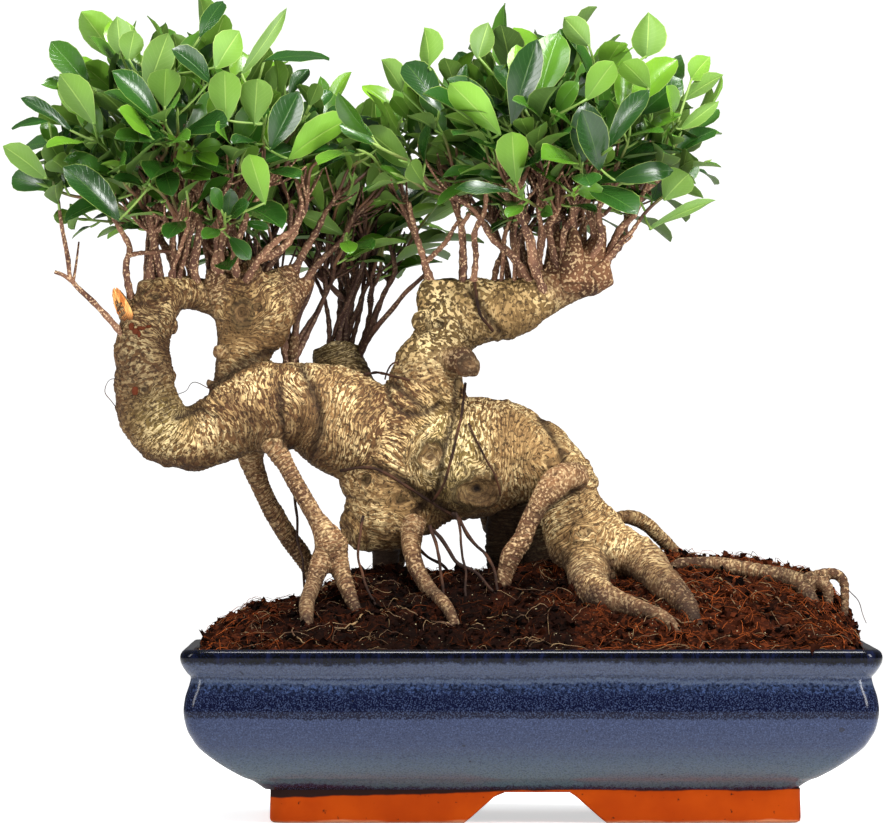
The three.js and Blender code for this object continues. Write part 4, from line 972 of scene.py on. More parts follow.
def terracotta_finish():
    """Bare orange clay with small pits, a pale chipped edge below and a dark line of glaze above,
    which is deeper towards the left."""
    material, nodes, shader = new_material("terracotta", Roughness=0.8, Specular_IOR_Level=0.1)
    place = nodes.place()
    left, _, height = nodes.axes(place)
    broad, patch = nodes.flecks(place=place, scale=34.0, detail=3.0, level=0.5, soft=0.25)
    pit, grain = nodes.flecks(place=place, scale=190.0, detail=2.0, level=0.69, soft=0.03)
    color = nodes.mix(broad, tint(188, 72, 4), tint(168, 58, 2))
    color = nodes.mix(pit, color, tint(80, 30, 10))
    edge = nodes.plus(height, nodes.times(nodes.minus(patch, 0.5), 0.005))
    color = nodes.mix(nodes.span(edge, 0.0005, 0.0022, 0.75, 0.0), color, tint(214, 150, 110))
    lift = nodes.span(left, -0.17, 0.1, 0.0148, 0.0205)
    burnt = nodes.minus(edge, lift)
    color = nodes.mix(nodes.span(burnt, 0.0, 0.0012), color, tint(42, 24, 20))
    join_shader(nodes, shader, color=color, height=grain, depth=0.0003)
    return material


def plastic_finish():
    """Dark grey plastic, dusty with soil in places."""
    material, nodes, shader = new_material("screen_plastic", Roughness=0.6)
    dust, grain = nodes.flecks(place=nodes.place(), scale=300.0, detail=2.0, level=0.55, soft=0.1)
    color = nodes.mix(nodes.times(dust, 0.4), tint(34, 38, 35), tint(84, 64, 50))
    join_shader(nodes, shader, color=color, height=grain, depth=0.0001)
    return material


# ---- pot --------------------------------------------------------------------------------------------
def pot_outline(inset, per_corner=9, along=(64, 44)):
    """Points [ring, around, 2] of rectangles with round corners, one for each inset: quarter circles
    at the corners, and even steps on the sides between them."""
    inset = np.asarray(inset, float)[:, None]
    half_x, half_y = POT_HALF[0] - inset, POT_HALF[1] - inset
    radius = np.minimum(POT_CORNER, np.minimum(half_x, half_y))
    around = []
    for corner, (sx, sy) in enumerate([(1, 1), (-1, 1), (-1, -1), (1, -1)]):
        angle = (corner + np.linspace(0, 1, per_corner)[None, :]) * np.pi / 2
        x = sx * (half_x - radius) + radius * np.cos(angle)
        y = sy * (half_y - radius) + radius * np.sin(angle)
        around.append(np.stack([x, y], -1))
    ring = []
    for corner in range(4):
        arc, following = around[corner], around[(corner + 1) % 4]
        steps = np.linspace(0, 1, along[corner % 2] + 2)[None, 1:-1, None]
        ring += [arc, arc[:, -1:] * (1 - steps) + following[:, :1] * steps]
    return np.concatenate(ring, axis=1)


def ring_surface(points):
    """Quads between rings [ring, around, 3], and a flat cap over the first and the last ring."""
    index = np.arange(points.shape[0] * points.shape[1]).reshape(points.shape[:2])
    a, b = index[:-1], index[1:]
    quads = np.stack([a, np.roll(a, -1, 1), np.roll(b, -1, 1), b], -1).reshape(-1, 4)
    return points.reshape(-1, 3), [quads, np.stack([index[0, ::-1], index[-1]])]


def cut_drains(mesh):
    """The mesh less an upright round hole at each drain."""
    ends = np.array([[[side * DRAIN["x"], 0, z] for z in (-5, 40)] for side in (-1, 1)], float)
    cutter = bpy.data.objects.new(
        "cutter", new_mesh("cutter", *tubes(ends, np.full((2, 2), DRAIN["radius"]), 32)))
    bpy.context.scene.collection.objects.link(cutter)
    bpy.context.view_layer.update()
    result = modified(mesh, ("BOOLEAN", {"object": cutter, "operation": "DIFFERENCE",
                                         "solver": "EXACT"}))
    bpy.data.objects.remove(cutter)
    return result


def make_glazed_body():
    """Its profile of inset and height, smoothed by a curve, is carried round the rounded rectangle,
    up the outside, over the lip and down to the floor."""
    outside = curve([(i, z, 0) for i, z in GLAZED_OUTSIDE], 90)[:, :2]
    inside = curve([(i, z, 0) for i, z in GLAZED_INSIDE], 26)[:, :2]
    under = np.array([(INNERMOST, FOOT_TOP - 0.2), (53.9, FOOT_TOP - 0.2)])
    floor = np.array([(INNERMOST, 25.0)])
    profile = np.concatenate([under, outside, inside, floor])
    ring = pot_outline(profile[:, 0])
    points = np.concatenate([ring, np.broadcast_to(profile[:, 1, None, None], ring[..., :1].shape)], -1)
    sway = noise(points * [1, 1, 0.3], 60, 3)[..., None] * 0.25
    middle = np.array([0, 0, 60.0])
    points[3:-30] += unit(points[3:-30] - middle) * sway[3:-30]
    body = cut_drains(new_mesh("pot_glazed", *ring_surface(points)))
    piece = new_piece("pot_glazed", body, glaze_finish(), 50)
    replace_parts(piece, "pot")


def make_foot():
    """The bare clay below the glaze: a ring with a notch of sloping sides, that lifts its points in
    the middle of both long sides."""
    profile = np.array([(INNERMOST, FOOT_TOP), *FOOT_OUTSIDE, *FOOT_INSIDE, (INNERMOST, UNDERSIDE)])
    ring = pot_outline(profile[:, 0])
    x, y = ring[..., 0], ring[..., 1]
    long_side = np.abs(y) > POT_HALF[1] - profile[:, :1] - 0.01
    slope = (NOTCH["bottom"] - np.abs(x)) / (NOTCH["bottom"] - NOTCH["top"])
    raised = np.where(long_side, NOTCH["height"] * np.clip(slope, 0, 1), 0)
    level = np.broadcast_to(profile[:, 1:2], x.shape)
    outside_rows = np.arange(len(profile))[:, None] <= len(FOOT_OUTSIDE)
    lifted = raised + level * (FOOT_TOP - raised) / FOOT_TOP
    inner = np.maximum(level, np.minimum(raised, 19.2))
    points = np.stack([x + FOOT_SHIFT, y, np.where(outside_rows, lifted, inner)], -1)
    foot = cut_drains(new_mesh("pot_foot", *ring_surface(points)))
    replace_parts(new_piece("pot_foot", foot, terracotta_finish(), 40), "pot")


# ---- soil -------------------------------------------------------------------------------------------
def soil_height(x, y):
    """The mound: a ridge along X that rounds off at both ends and falls to the front and back."""
    along = np.minimum(np.abs(x) / (POT_HALF[0] - SOIL_INSET), 1)
    across = np.minimum(np.abs(y) / (POT_HALF[1] - SOIL_INSET), 1)
    ridge = SOIL_LIP + (SOIL_CREST - SOIL_LIP + SOIL_SLOPE * x) * np.sqrt(1 - along**4)
    return SOIL_EDGE + ridge * (1 - across**1.2)


def soil_relief(x, y):
    """Clods, clumps and hollows on the mound, less towards the pot's wall."""
    place = np.stack([x, y, np.zeros_like(x)], -1)
    inward = np.clip(np.minimum(POT_HALF[0] - SOIL_INSET - np.abs(x),
                                POT_HALF[1] - SOIL_INSET - np.abs(y)) / 12, 0, 1)
    clumps = 2.4 * noise(place, 30, 4) + 3.0 * layered_noise(place, 15, 3, 5)
    hump = sum(high * np.exp(-(((x - middle) / wide) ** 2)) for high, middle, wide in SOIL_HUMPS)
    hump *= np.exp(-(((y - HUMP_Y) / HUMP_DEPTH) ** 2))
    return (clumps + 1.4 * np.abs(noise(place, 4.2, 9))) * (0.3 + 0.7 * inward) - 1.2 + hump


def humus(x, y):
    """How dark the soil is: nearly black under the trunk, red-brown at both ends."""
    place = np.stack([x, y, np.zeros_like(x)], -1)
    under_trunk = np.exp(-(((x - HUMUS_X) / HUMUS_REACH) ** 4))
    return np.clip(1.1 * under_trunk + 0.6 * noise(place, 20, 14) - 0.08, 0, 0.86)


def on_soil(x, y):
    """The height of the soil's surface."""
    return soil_height(x, y) + soil_relief(x, y)


def make_soil():
    """The mound's top as shrinking rounded rectangles lifted by its height and relief, with a wall
    inside the pot and a flat base."""
    scale = np.linspace(1, 0.012, 118)
    rim = pot_outline([SOIL_INSET], 6, (170, 110))[0]
    top = scale[:, None, None] * rim[None]
    height = on_soil(top[..., 0], top[..., 1])
    height[0] -= 2
    inset, level = np.array(SOIL_WALL).T
    wall = pot_outline(inset, 6, (170, 110))
    wall = np.concatenate([wall, np.broadcast_to(level[:, None, None], wall[..., :1].shape)], -1)
    points = np.concatenate([wall, np.concatenate([top, height[..., None]], -1)])
    body, faces = ring_surface(points)
    dark = humus(body[:, 0], body[:, 1])
    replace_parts(add_piece("soil_mound", (body, faces), soil_finish(), "peat", humus=dark), "soil")


def scatter_on_soil(count, margin=3.0):
    """Random places on the mound, [place, 3]."""
    half = POT_HALF - SOIL_INSET - margin
    xy = random.uniform(-1, 1, (count, 2)) * half
    return np.column_stack([xy, on_soil(xy[:, 0], xy[:, 1])])


def lump_form():
    """A rough ball: four rings of six points between two flat ends."""
    latitude = np.linspace(0, np.pi, 6)[1:-1]
    angle = np.arange(6) * np.pi / 3
    wide, high = np.sin(latitude)[:, None], -np.cos(latitude)[:, None]
    return ring_surface(np.stack([wide * np.cos(angle), wide * np.sin(angle), high + 0 * angle], -1))


def make_crumbs():
    """Small lumps of peat: one ball, stretched, turned and roughened for each place."""
    count = CRUMBS
    body, faces = lump_form()
    places = scatter_on_soil(count)
    places[0] = RIM_CRUMB["place"]
    size = random.uniform(0.8, 2.1, (count, 1, 1)) ** 1.5
    size[0] = RIM_CRUMB["size"]
    stretch = random.uniform(0.55, 1.35, (count, 1, 3))
    turn = unit(random.normal(size=(count, 3, 3)))
    turned = np.einsum("nij,kj->nki", turn, body)
    points = places[:, None] + turned * stretch * size
    points += 0.35 * size * random.normal(size=points.shape)
    points = points.reshape(-1, 3)
    faces = [copies(face, count, len(body)) for face in faces]
    light = random.uniform(0, 1, count) ** 1.6 * (1 - humus(places[:, 0], places[:, 1]))
    finish = crumb_finish("crumb", tint(9, 5, 4), tint(74, 33, 16))
    add_piece("peat_crumbs", (points, faces), finish, "peat", 30, tone=np.repeat(light, len(body)))


def strands(starts, length, radius, lift, stations=6):
    """Loose threads: each starts at its place in a random level direction that turns as it goes, and
    rises over the ground by a low hump."""
    count = len(starts)
    t = np.linspace(0, 1, stations)[None, :]
    heading = random.uniform(0, 2 * np.pi, (count, 1)) + random.normal(0, 1.3, (count, 1)) * t
    step = length[:, None] / (stations - 1)
    x = starts[:, :1] + np.cumsum(np.cos(heading) * step, axis=1)
    y = starts[:, 1:2] + np.cumsum(np.sin(heading) * step, axis=1)
    x = np.clip(x, -POT_HALF[0] + SOIL_INSET + 2, POT_HALF[0] - SOIL_INSET - 2)
    y = np.clip(y, -POT_HALF[1] + SOIL_INSET + 2, POT_HALF[1] - SOIL_INSET - 2)
    hump = np.sin(np.pi * t) * lift[:, None] + 0.35 * random.normal(size=(count, stations))
    z = on_soil(x, y) + hump
    taper = radius[:, None] * (1 - 0.6 * t)
    return tubes(np.stack([x, y, z], -1), taper, 3)


def make_fibres():
    """Orange-brown fibres in the peat, many of them curled up at both ends of the mound, and paler
    hair roots."""
    count = FIBRES
    places = scatter_on_soil(count)
    light = 1 - humus(places[:, 0], places[:, 1])
    curled = random.uniform(0, 1, count) < 0.5 * light
    length = np.where(curled, random.uniform(12, 26, count), random.uniform(4, 14, count))
    radius = random.uniform(0.16, 0.36, count)
    lift = np.where(curled, random.uniform(1.0, 5.0, count), random.uniform(0.2, 2.0, count))
    form = strands(places, length, radius, lift)
    tone = np.repeat(random.uniform(0, 1, count) * light, len(form[0]) // count)
    finish = crumb_finish("fibre", tint(20, 9, 5), tint(150, 74, 34))
    add_piece("peat_fibres", form, finish, "peat", tone=tone)
    count = HAIR_ROOTS
    places = scatter_on_soil(count)
    form = strands(places, random.uniform(10, 34, count), random.uniform(0.16, 0.36, count),
                   random.uniform(0.4, 4.0, count), 9)
    add_piece("hair_roots", form, pale_root_finish(), "bark")


# ---- trunk ------------------------------------------------------------------------------------------
def limb_curves(limbs, spacing=2.5):
    """Each limb's route as a curve with stations about as far apart as the spacing."""
    routes = [np.array(route) for route in limbs.values()]
    return [curve(route, max(int(run_of(route)[-1] / spacing), 6)) for route in routes]


def nearest_station(points, stations, qualities, block=4000):
    """For each point, the station whose tube's surface lies nearest, which is least distance less
    radius, and the stations' qualities averaged with weights that fall off further away."""
    best, mean = [], []
    for start in range(0, len(points), block):
        part = points[start:start + block]
        square = (part**2).sum(1)[:, None] + (stations[:, :3] ** 2).sum(1) - 2 * part @ stations[:, :3].T
        gap = np.sqrt(np.maximum(square, 0)) - stations[:, 3]
        weight = np.exp((gap.min(1, keepdims=True) - gap) / 2.0)
        best.append(gap.argmin(1))
        mean.append(weight @ qualities / weight.sum(1, keepdims=True))
    return np.concatenate(best), np.concatenate(mean)


def front_depth(points, x, z, reach=2.5):
    """How far forward the surface comes at a place seen from the front."""
    near = np.hypot(points[:, 0] - x, points[:, 2] - z) < reach
    return points[near, 1].min() if near.any() else 0.0


def distance_to_line(points, line):
    """Distance in X and Z from each point to a line through x, z pairs."""
    flat = points[:, [0, 2]]
    best = np.full(len(flat), np.inf)
    for a, b in zip(line[:-1], line[1:]):
        t = np.clip((flat - a) @ (b - a) / ((b - a) @ (b - a)), 0, 1)[:, None]
        best = np.minimum(best, np.linalg.norm(flat - a - t * (b - a), axis=1))
    return best


def bark_relief(points, normals, travelled, knots, creases):
    """How far the bark stands out, the count of wrinkles so far along the limb, how dark each point is
    in creases and in the hollows of knots, which is painted shade, and how near to a knot's middle:
    lumps and warts of noise, wrinkles that turn into rings round each knot, a rim and a hollow at the
    knots, and creases."""
    relief = 1.7 * noise(points, 26, 1) + 1.0 * noise(points, 11, 2) + 0.4 * noise(points, 4, 3)
    relief += 1.5 * np.clip(noise(points, 7, 9) + 0.5 * noise(points, 3.5, 10) - 0.15, 0, 1)
    phase = travelled / WRINKLE + 2.4 * noise(points, 26, 4) + 0.7 * noise(points, 9, 5)
    crease, scar = np.zeros(len(points)), np.zeros(len(points))
    for x, z, radius, rim, clear in knots:
        middle = np.array([x, front_depth(points, x, z), z])
        away = np.linalg.norm(points - middle, axis=1)
        start = phase[away.argmin()]
        away = away * (1 + 0.3 * noise(points, 8, 7)) + 1.5 * noise(points, 5, 11)
        near = 0.85 * np.exp(-((away / (1.25 * radius)) ** 4))
        phase = phase * (1 - near) + near * (start + away / KNOT_RING)
        ring = np.exp(-(((away - radius) / (0.35 * radius)) ** 2))
        hollow = np.exp(-((away / (0.5 * radius)) ** 2))
        relief += rim * (ring - 1.3 * hollow)
        scar = np.maximum(scar, clear * (1 - away / (1.5 * radius)))
        # Painted shade in the hollow of a knot that shows no clear rings.
        crease = np.maximum(crease, 0.6 * (1 - clear) * hollow)
    front = normals[:, 1] < 0.35
    for depth, width, line in creases:
        away = distance_to_line(points, np.array(line, float)) + 0.9 * noise(points, 9, 8)
        dip = np.exp(-((away / width) ** 2)) * front
        relief -= depth * dip
        crease = np.maximum(crease, 0.9 * dip)
    return relief, phase, np.clip(crease, 0, 1), scar


def falloff(points, middle, reach):
    """1 at the middle, falling to 0 at an ellipsoid of the given reach round it."""
    return np.clip(1 - np.linalg.norm((points - middle) / reach, axis=1), 0, 1)


def bark_patches(points, kind):
    """One kind of bark patch at each point, summed over its places."""
    return sum(amount * falloff(points, middle, reach) for amount, middle, reach in BARK_PATCHES[kind])


def along_limbs(limbs, curves):
    """For each station: how far along its limb it lies, the limb's direction, and how young, how dark
    with dirt and painted shade, and how thick the limb is."""
    run, direction, kinds = [], [], []
    for number, (limb, line) in enumerate(zip(limbs, curves)):
        run.append(number * LIMB_SHIFT + run_of(line))
        direction.append(unit(np.gradient(line[:, :3], axis=0)))
        kind = np.tile(KIND_OF.get(limb, (0, 0)), (len(line), 1))
        kinds.append(np.column_stack([kind, line[:, 3]]))
    return np.concatenate(run), np.concatenate(direction), np.concatenate(kinds)


def bark_colors(points, normals, young, earth_and_shade, thin):
    """What the bark's finish reads beside its relief, each from 0 to 1."""
    # Pale, for more cream flecks: painted light where the surface faces front, back and up, paler and
    # darker in listed patches, and less on thin limbs.
    pale = 0.22 + bark_patches(points, "pale") + 0.5 * np.abs(normals[:, 1]) + 0.36 * normals[:, 2]
    pale = np.clip(pale + 0.6 * noise(points, 34, 12), 0, 1) * (0.4 + 0.6 * thin)
    above = points[:, 2] - on_soil(points[:, 0], points[:, 1])
    young = np.maximum(young, np.clip(1 - above / 20, 0, 0.7))
    young = np.maximum(young, np.clip(bark_patches(points, "young"), 0, 1))
    # Painted shade where the surface faces down, under the limbs, joined with the dirt near the soil and
    # in patches.
    below = 0.6 * np.clip(-normals[:, 2] - 0.2, 0, 1)
    near_soil = np.clip(1 - above / 28, 0, 1) * (0.62 + 0.5 * noise(points, 12, 13))
    earth_and_shade = np.maximum.reduce([earth_and_shade, bark_patches(points, "earth_and_shade"), below, near_soil])
    buried = np.clip(1 - (above - 1) / 6, 0, 1)
    return {
        "pale": pale,
        "young": young,
        "moss": np.clip(bark_patches(points, "moss"), 0, 1),
        "worn": np.clip(bark_patches(points, "worn"), 0, 1),
        "earth_and_shade": np.maximum(np.clip(earth_and_shade, 0, 1), 0.75 * buried),
    }


def make_limbs(name, limbs, knots, creases, material, voxel):
    """Limbs and roots as tubes, fused by a voxel remesh and smoothed, then given their relief."""
    curves = limb_curves(limbs)
    form = joined([tubes(c[None, :, :3], c[None, :, 3] + 0.5, 20) for c in curves])
    mesh = modified(new_mesh(name, *form), ("REMESH", {"mode": "VOXEL", "voxel_size": voxel * MM}),
                    ("SMOOTH", {"factor": 0.5, "iterations": 9}))
    points, normals = mesh_arrays(mesh)
    stations = np.concatenate(curves)
    run, direction, kinds = along_limbs(limbs, curves)
    nearest, means = nearest_station(points, stations, kinds)
    young, earth_and_shade, thick = means.T
    thin = np.clip(thick / 14, 0.12, 1)
    travelled = run[nearest] + dot(points - stations[nearest, :3], direction[nearest])[:, 0]
    relief, phase, crease, scar = bark_relief(points, normals, travelled, knots, creases)
    # Painted shade in the hollows of the relief.
    crease = np.maximum(crease, 0.75 * np.clip(-0.4 * relief - 0.35, 0, 1))
    upper = np.clip((points[:, 2] - 284) / 22, 0, 1) * (points[:, 0] > -104)
    rough = np.clip(0.65 + 0.8 * noise(points, 30, 6), 0.25, 1) * (1 - 0.55 * upper)
    wrinkle = np.abs(np.sin(np.pi * phase)) ** 0.7 - 0.6
    points = points + normals * (relief * thin + 1.1 * rough * wrinkle * np.sqrt(thin))[:, None]
    set_points(mesh, points)
    mesh.update()
    colors = bark_colors(points, normals, young, earth_and_shade, thin)
    olive = upper * (1 - colors["young"])
    colors["young"] = np.maximum(colors["young"], np.clip(1.6 - thick / 3, 0, 0.7))
    set_values(mesh, along=phase * WRINKLE * MM, rough=rough, knot=scar, olive=olive,
               crease=crease * (0.4 + 0.6 * thin), **colors)
    return new_piece(name, mesh, material), points


def clinging_paths(points):
    """Thin roots laid on the front of the bark, following how far it stands forward."""
    paths = []
    for radius, line in CLINGING_ROOTS:
        flat = curve([(x, z, 0) for x, z in line], 22)
        depth = np.array([front_depth(points, x, z, 3.5) for x, z, _ in flat])
        depth = np.convolve(np.pad(depth, 2, "edge"), np.ones(5) / 5, "valid") - 0.5 * radius
        thick = radius * (1 + 0.15 * np.sin(np.arange(22) * 1.7))
        paths.append(np.column_stack([flat[:, 0], depth, flat[:, 1], thick]))
    return paths


def make_thin_roots(points):
    """The clinging and the hanging thin roots, which waver a little, and the roots on the soil,
    sunk into it at both ends."""
    cling = clinging_paths(points)
    hang = np.array([curve(route, 22) for route in HANGING_ROOTS])
    hang[..., :3] += 2.2 * drift(hang[..., :3], 15, 24)
    hang[..., 3] *= 0.62 + 0.15 * noise(hang[..., :3], 5, 27)
    paths = np.concatenate([cling, hang])
    paths[..., :3] += 0.5 * drift(paths[..., :3], 9, 20)
    add_piece("thin_roots", tubes(paths[..., :3], paths[..., 3], 8), root_finish(), "bark")
    lying = []
    for radius, line in SURFACE_ROOTS:
        flat = curve([(x, y, 0) for x, y in line], 26)
        flat[:, :2] += np.column_stack([noise(flat, 9, 31), noise(flat, 9, 32)]) * 2.5
        ends = np.abs(np.linspace(-1, 1, 26)) ** 5
        hump = 1.0 + 1.2 * noise(flat, 14, 33) - 3.5 * ends
        thick = 0.55 * radius * np.linspace(1, 0.4, 26) * (1 + 0.3 * noise(flat, 6, 34))
        lying.append(np.column_stack([flat[:, :2], on_soil(flat[:, 0], flat[:, 1]) + hump, thick]))
    lying = np.array(lying)
    add_piece("surface_roots", tubes(lying[..., :3], lying[..., 3], 7), pale_root_finish(), "bark")


def make_torn_wood(points):
    """The torn face of the broken stub: flat splinters side by side across it, thickest half way up,
    in a lens shape that narrows to both ends; and drops of dark resin below it."""
    count = 13
    t = np.linspace(0, 1, 9)[None, :, None]
    lane = np.linspace(-1, 1, count)[:, None]
    foot = np.array([-259, -20.5, 319.0]) + lane * [1.6, -1.2, 0]
    foot += random.uniform(-0.6, 0.6, (count, 3))
    top = np.array([-271, -17.5, 345.0]) + lane * [1.4, -0.8, 0]
    top += random.uniform(-1, 1, (count, 3)) * [0.6, 0.6, 2.5]
    paths = foot[:, None] * (1 - t) + top[:, None] * t
    paths += np.sin(np.pi * t) * lane[:, None] * [2.0, -1.2, 0]
    radii = (0.6 + 1.1 * np.sin(np.pi * t[..., 0]) ** 0.7) * random.uniform(0.8, 1.15, (count, 1))
    forms = [tubes(paths, radii * (1 - 0.5 * t[..., 0] ** 4), 5)]
    for x, z, across, high in RESIN_DROPS:
        ball, faces = lump_form()
        forms.append((ball * [across, 1.6, high] + [x, front_depth(points, x, z, 3) + 0.3, z], faces))
    add_piece("torn_wood", joined(forms), torn_wood_finish(), "bark", 40)


# ---- shoots -----------------------------------------------------------------------------------------
def draw(i, j):
    """A repeatable number from 0 to 1 for each pair of whole numbers."""
    wave = np.sin(i * 12.9898 + j * 78.233) * 43758.5453
    return wave - np.floor(wave)


def dome_tips(crown, count, turn, shell):
    """Tips spread over the crown's dome: the height falls evenly from 1 to -low while the angle grows
    by the golden angle."""
    i = np.arange(count)
    height = 1 - (i + 0.5) / count * (1 + crown["low"])
    angle = turn + i * GOLDEN_ANGLE
    around = np.sqrt(1 - height**2)
    aim = np.stack([around * np.cos(angle), around * np.sin(angle), height], -1)
    return np.array(crown["centre"]) + aim * crown["reach"] * shell[:, None]


def forked(tips, heart, seats, lean=0.4):
    """Curves from the seat nearest to a point a little way from the heart, up steeply and out to
    each tip, as points [shoot, place, 3] in even steps."""
    aim = np.array(heart) * (1 - lean) + tips * lean
    foot = seats[np.linalg.norm(aim[:, None] - seats[None], axis=2).argmin(1)]
    bend = foot + (tips - foot) * [0.4, 0.4, 0.62]
    return evenly(bezier(foot, bend, tips, FINE_STATIONS))


def evenly(paths, count=FINE_STATIONS):
    """Each path again with its points in even steps of length."""
    result = []
    for path in paths:
        run = run_of(path)
        result.append(rows_at(np.linspace(0, run[-1], count), run, path))
    return np.array(result)


def split_shoots(paths, leafy=LEAFY_LENGTH):
    """The woody and the green part of each path: the last stretch is green."""
    length = np.linalg.norm(np.diff(paths, axis=1), axis=2).sum(1)
    split = np.maximum(0.3, 1 - leafy / length)
    steps = np.arange(paths.shape[1]) / (paths.shape[1] - 1)
    wood, green = [], []
    for path, share in zip(paths, split):
        for part, low, high in ((wood, 0, share), (green, share, 1)):
            part.append(rows_at(np.linspace(low, high, STATIONS), steps, path))
    return np.array(wood), np.array(green)


def fans(tips, heart, seats):
    """Stems that fork into three twigs each. The tips are taken in threes round the crown; a stem
    runs from a seat on the limbs, below the three tips, up to a fork half the way from the heart to
    their mean, and a twig from there to each tip."""
    around = tips - tips.mean(0)
    order = np.argsort(np.arctan2(around[:, 1], around[:, 0]))
    threes = tips[order].reshape(-1, 3, 3)
    mean = threes.mean(axis=1)
    heart = np.array(heart, float)
    fork = heart + 0.5 * (mean - heart) + [0, 0, 6] + random.normal(0, 6, mean.shape)
    aim = heart + (mean - heart) * [0.7, 0.7, 0] + [0, 0, -15] + random.normal(0, 10, mean.shape)
    away = np.linalg.norm((aim[:, None] - seats[None, :, :3]) * [1, 1, 0.4], axis=2)
    seat = seats[away.argmin(1)]
    seat = seat[:, :3] + random.uniform(-0.5, 0.5, mean.shape) * seat[:, 3:]
    stems = bezier(seat, seat + (fork - seat) * [0.3, 0.3, 0.6], fork, STATIONS)
    start = np.repeat(fork, 3, axis=0)
    end = threes.reshape(-1, 3)
    twigs = bezier(start, start + (end - start) * [0.35, 0.35, 0.6], end, FINE_STATIONS)
    return stems, evenly(twigs)


def riser_twigs(risers, heart):
    """Three twigs from the top of each riser, that carry on its way with the heart behind them."""
    end = np.repeat([route[-1][:3] for route in risers], 3, axis=0).astype(float)
    last = np.repeat([np.subtract(route[-1][:3], route[-2][:3]) for route in risers], 3, axis=0)
    aim = unit(unit(last) + 0.6 * unit(end - heart) + random.normal(0, 0.42, end.shape))
    aim[:, 2] = np.maximum(aim[:, 2], 0.15)
    tips = end + aim * random.uniform(48, 72, (len(end), 1))
    bend = end + unit(last) * 14 + aim * 12
    return evenly(bezier(end, bend, tips, FINE_STATIONS))


def nearest_crown(place):
    """The number of the crown whose middle lies nearest to a place."""
    return int(np.argmin([np.linalg.norm(np.subtract(place, c["centre"])) for c in CROWNS]))


def low_tips(crown):
    """Tips inside the lower half of the crown's dome, further out one after the other."""
    count = crown["low_shoots"]
    angle = np.arange(count) * GOLDEN_ANGLE + 1.3
    out = np.linspace(0.3, 0.9, count)
    depth = -random.uniform(0.3, 0.95, count)
    aim = np.stack([out * np.cos(angle), out * np.sin(angle), depth], -1)
    return np.array(crown["centre"]) + aim * crown["reach"]


def all_shoots():
    """Every shoot: wood and green paths, which crown, its number in the solid model or -1 beyond it,
    and the size of its leaves; and the stems that carry the shoots beyond the solid model."""
    limbs = [*LOOP_LIMBS.values(), *BASE_LIMBS.values(), *RISERS]
    corners = np.array([p[:3] for route in limbs for p in route if p[2] > LOWEST_FORK], float)
    dense = np.concatenate(limb_curves(LOOP_LIMBS, 3) + limb_curves(BASE_LIMBS, 3))
    dense = dense[(dense[:, 2] > LOWEST_SEAT) & (dense[:, 3] > SEAT_RADIUS)]
    wood, green, crowns, numbers, scales, stems = [], [], [], [], [], []
    for number, shoot in enumerate(SIDE_SHOOTS):
        path = curve(shoot["wood"], STATIONS)
        start, tip = path[-1], np.array(shoot["tip"], float)
        bend = start + 14 * unit(start - np.array(shoot["wood"][-2]))
        wood.append(path)
        green.append(bezier(start[None], bend[None], tip[None], STATIONS)[0])
        crowns.append(number)
        numbers.append(number)
        scales.append(shoot["scale"])
    number = len(SIDE_SHOOTS)
    for which, crown in enumerate(CROWNS):
        shell = np.where(np.arange(crown["shoots"]) % 3 == 2, 0.62, 1.0)
        ruled = forked(dome_tips(crown, crown["shoots"], crown["turn"], shell), crown["heart"], corners)
        w, g = split_shoots(ruled)
        spread = random.normal(0, 1, (len(w), 1, 3)) * [6, 5, 2]
        t = np.linspace(0, 1, w.shape[1])[None, :, None]
        w = w + 4 * t * (1 - t) * spread
        wood.extend(w)
        green.extend(g)
        crowns.extend([which] * len(w))
        numbers.extend(range(number, number + len(w)))
        scales.extend([1.0] * len(w))
        number += len(w)
        shell = random.uniform(0.55, 1.0, crown["more"])
        higher = {**crown, "low": 0.25}
        tips = dome_tips(higher, crown["more"], crown["turn"] + 0.9, shell)
        tips += random.normal(0, 3, tips.shape)
        low = low_tips(crown)
        more, twigs = fans(tips, crown["heart"], dense)
        low_stems, low_twigs = fans(low, crown["heart"], dense)
        more, twigs = np.concatenate([more, low_stems]), np.concatenate([twigs, low_twigs])
        risers = [r for r in RISERS + SIDE_STEMS if nearest_crown(r[-1][:3]) == which]
        twigs = np.concatenate([twigs, riser_twigs(risers, crown["heart"])])
        w, g = split_shoots(twigs, SHORT_LEAFY)
        stems.extend(more)
        wood.extend(w)
        green.extend(g)
        crowns.extend([which] * len(w))
        numbers.extend([-1] * len(w))
        height = (g[:, -1, 2] - crown["centre"][2]) / crown["reach"][2]
        scales.extend(random.uniform(0.62, 0.95, len(w)) * np.interp(height, [-0.7, 0], [0.62, 1.0]))
    return (np.array(wood), np.array(green), np.array(crowns), np.array(numbers), np.array(scales),
            np.array(stems))


def bent(paths, strength=5.0):
    """Paths above the limbs, all moved by one smooth noise of their place, so that whatever joins
    stays joined. The shift grows from nothing at the limbs."""
    ground = 338 - np.clip(paths[..., 1] - 5, 0, 30)
    rise = np.clip((paths[..., 2] - ground) / 30, 0, 1)
    return paths + strength * drift(paths, 20, 60) * rise[..., None]


